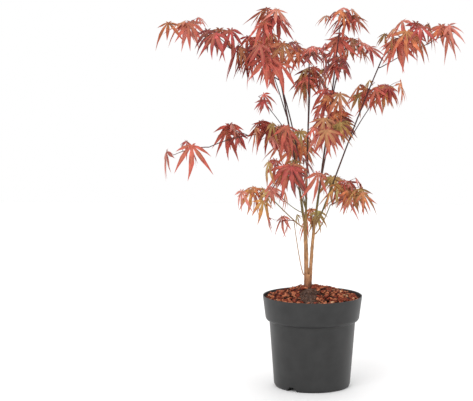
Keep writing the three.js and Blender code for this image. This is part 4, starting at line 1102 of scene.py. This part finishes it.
def chipPoints(random):  # chips on the heap: ragged ovals in three tiers, tilted at random
    count, corners = chips["count"], chips["corners"]
    radius = np.sqrt(random.uniform(chips["inner"] ** 2, chips["outer"] ** 2, count * 2))
    turn = random.uniform(0, 2 * np.pi, count * 2)
    x, y = radius * np.cos(turn), radius * np.sin(turn)
    keep = ballShare(x, y) > random.uniform(*chips["bareBall"], count * 2)
    keep &= np.hypot(x - chips["trunk"][0], y - chips["trunk"][1]) > chips["bareTrunk"]
    x, y = x[keep][:count], y[keep][:count]
    count = len(x)
    length = random.uniform(*chips["length"], count)
    width = length * random.uniform(*chips["width"], count)
    thickness = length * random.uniform(*chips["thickness"], count)
    yaw = random.uniform(0, 2 * np.pi, count)
    pitch, bank = np.radians(chips["tilt"] * random.normal(size=(2, count)))
    ring = fullTurn(corners)
    ragged = 1 + chips["ragged"] * random.uniform(-1, 1, (count, corners))
    steps = np.empty((3, count, len(chips["tiers"]), corners))
    for tier, (scale, height) in enumerate(chips["tiers"]):
        uneven = 1 + chips["uneven"] * random.uniform(-1, 1, (count, corners))
        steps[0, :, tier] = scale * ragged * np.cos(ring) * length[:, None] / 2
        steps[1, :, tier] = scale * ragged * np.sin(ring) * width[:, None] / 2
        steps[2, :, tier] = height * thickness[:, None] * uneven
    axisX = level(yaw) * np.cos(pitch)[:, None] + up * np.sin(pitch)[:, None]
    axisY = unit(np.cross(up + level(yaw + np.pi / 2) * np.sin(bank)[:, None], axisX))
    axes = [axis[:, None, None] for axis in (axisX, axisY, np.cross(axisX, axisY))]
    place = np.stack([x, y, heapHeight(x, y) + random.uniform(*chips["lift"], count)], -1)
    points = framed(place[:, None, None], axes, steps)
    distance = np.hypot(points[..., 0], points[..., 1])
    room = np.interp(points[..., 2], chips["wallHeights"], chips["wallRadii"])
    points[..., :2] *= np.minimum(1, room / distance)[..., None]
    return points


def chipPieces():  # one piece for each tone, dealt at random by the tones' shares
    random = np.random.default_rng(chips["seed"])
    points = chipPoints(random)
    shares = [share for _, share in chipKinds.values()]
    kind = random.choice(len(chipKinds), len(points), p=shares)
    for k, (name, (tone, _)) in enumerate(chipKinds.items()):
        mesh = ringMesh(name, points[kind == k])
        mesh.set_sharp_from_angle(angle=math.radians(chips["sharp"]))
        tones = [np.array(tone, float) * shade for shade in chips["shades"]]
        material = soilMaterial(name, tones, chips["grain"])
        newPiece(name, mesh, material, ["bark_mulch"])


chipPieces()

# The roots on the root ball, in millimetres, within a share of its ellipse
fibres = {"count": 420, "within": 0.95, "outer": 86, "length": (7, 20), "radius": (0.18, 0.36),
          "bend": 0.22, "stations": 6, "sides": 4, "lift": (0.1, 1.0), "arch": 3, "above": 0.3,
          "seed": 23, "tones": ((66, 50, 45), (126, 100, 88)), "grain": 160.0}


def fibreMesh():
    # Thin roots over the root ball, each bent sideways by 1 - 4 s^2 and arched by 1 - 3 s^2 along
    # shares s of its length, counted from its middle
    random = np.random.default_rng(fibres["seed"])
    count = fibres["count"]
    away = fibres["within"] * np.sqrt(random.uniform(0, 1, count))
    turn, way = random.uniform(0, 2 * np.pi, (2, count))
    middle = heap["rootBall"] + away[:, None] * level(turn)[:, :2] * heap["rootReach"]
    length = random.uniform(*fibres["length"], count)
    share = np.linspace(-0.5, 0.5, fibres["stations"])
    bend = fibres["bend"] * random.uniform(-1, 1, count) * length
    axes = [level(angle)[:, None, :2] for angle in (way, way + np.pi / 2)]
    steps = (length[:, None] * share, bend[:, None] * (1 - 4 * share ** 2))
    flat = framed(middle[:, None], axes, steps)
    flat *= np.minimum(1, fibres["outer"] / np.linalg.norm(flat, axis=-1, keepdims=True))
    lift = random.uniform(*fibres["lift"], count)[:, None] * (1 - fibres["arch"] * share ** 2)
    height = heapHeight(flat[..., 0], flat[..., 1]) + lift + fibres["above"]
    radii = np.tile(random.uniform(*fibres["radius"], (count, 1)), (1, fibres["stations"]))
    paths = np.concatenate([flat, height[..., None]], -1)
    return tubeMesh("root_fibres", paths, radii, fibres["sides"])


newPiece("root_fibres", fibreMesh(),
         soilMaterial("root_fibre", fibres["tones"], fibres["grain"]), ["compost"])
print("heap, bark and roots done")

# Camera, lights, surroundings and floor, in metres
cameraLook = {"sensor": 36, "lens": 112.8, "place": (0, -2.8, 0.673),
              "target": (-0.1454, 0, 0.3558)}
lamps = {"key": {"place": (-1.2, -2.4, 2.3), "size": 1.8, "power": 38},
         "fill": {"place": (2.2, -1.6, 1.4), "size": 2.0, "power": 5},
         "back": {"place": (0.4, 2.2, 2.2), "size": 2.0, "power": 16}}
lampTarget = (0, 0, 0.4)
white = (1, 1, 1, 1)
floorLook = {"reach": 3000, "roughness": 0.8, "colour": (0.93, 0.93, 0.93, 1)}


def standing(name, data, place, target):  # a new object at a place, its -Z axis turned to a target
    thing = placed(name, data)
    thing.location = place
    way = mathutils.Vector(target) - thing.location
    thing.rotation_euler = way.to_track_quat("-Z", "Y").to_euler()
    return thing


lens = bpy.data.cameras.new("camera")
lens.sensor_width, lens.lens = cameraLook["sensor"], cameraLook["lens"]
scene = bpy.context.scene
scene.camera = standing("camera", lens, cameraLook["place"], cameraLook["target"])
for name, lamp in lamps.items():
    light = bpy.data.lights.new(name, "AREA")
    light.size, light.energy = lamp["size"], lamp["power"]
    standing(name, light, lamp["place"], lampTarget)
world = bpy.data.worlds.new("world")
world.use_nodes = True
world.node_tree.nodes["Background"].inputs["Color"].default_value = white
world.node_tree.nodes["Background"].inputs["Strength"].default_value = 1.0
scene.world = world
scene.view_settings.view_transform = "Standard"

corners = [(x * floorLook["reach"], y * floorLook["reach"], 0)
           for x, y in ((-1, -1), (1, -1), (1, 1), (-1, 1))]
floorMesh = newMesh("floor", corners, [[[0, 1, 2, 3]]], smooth=False)
material, add = newMaterial("floor", floorLook["roughness"])
add("Shader", **{"Base Color": floorLook["colour"]})
floorMesh.materials.append(material)
placed("floor", floorMesh)
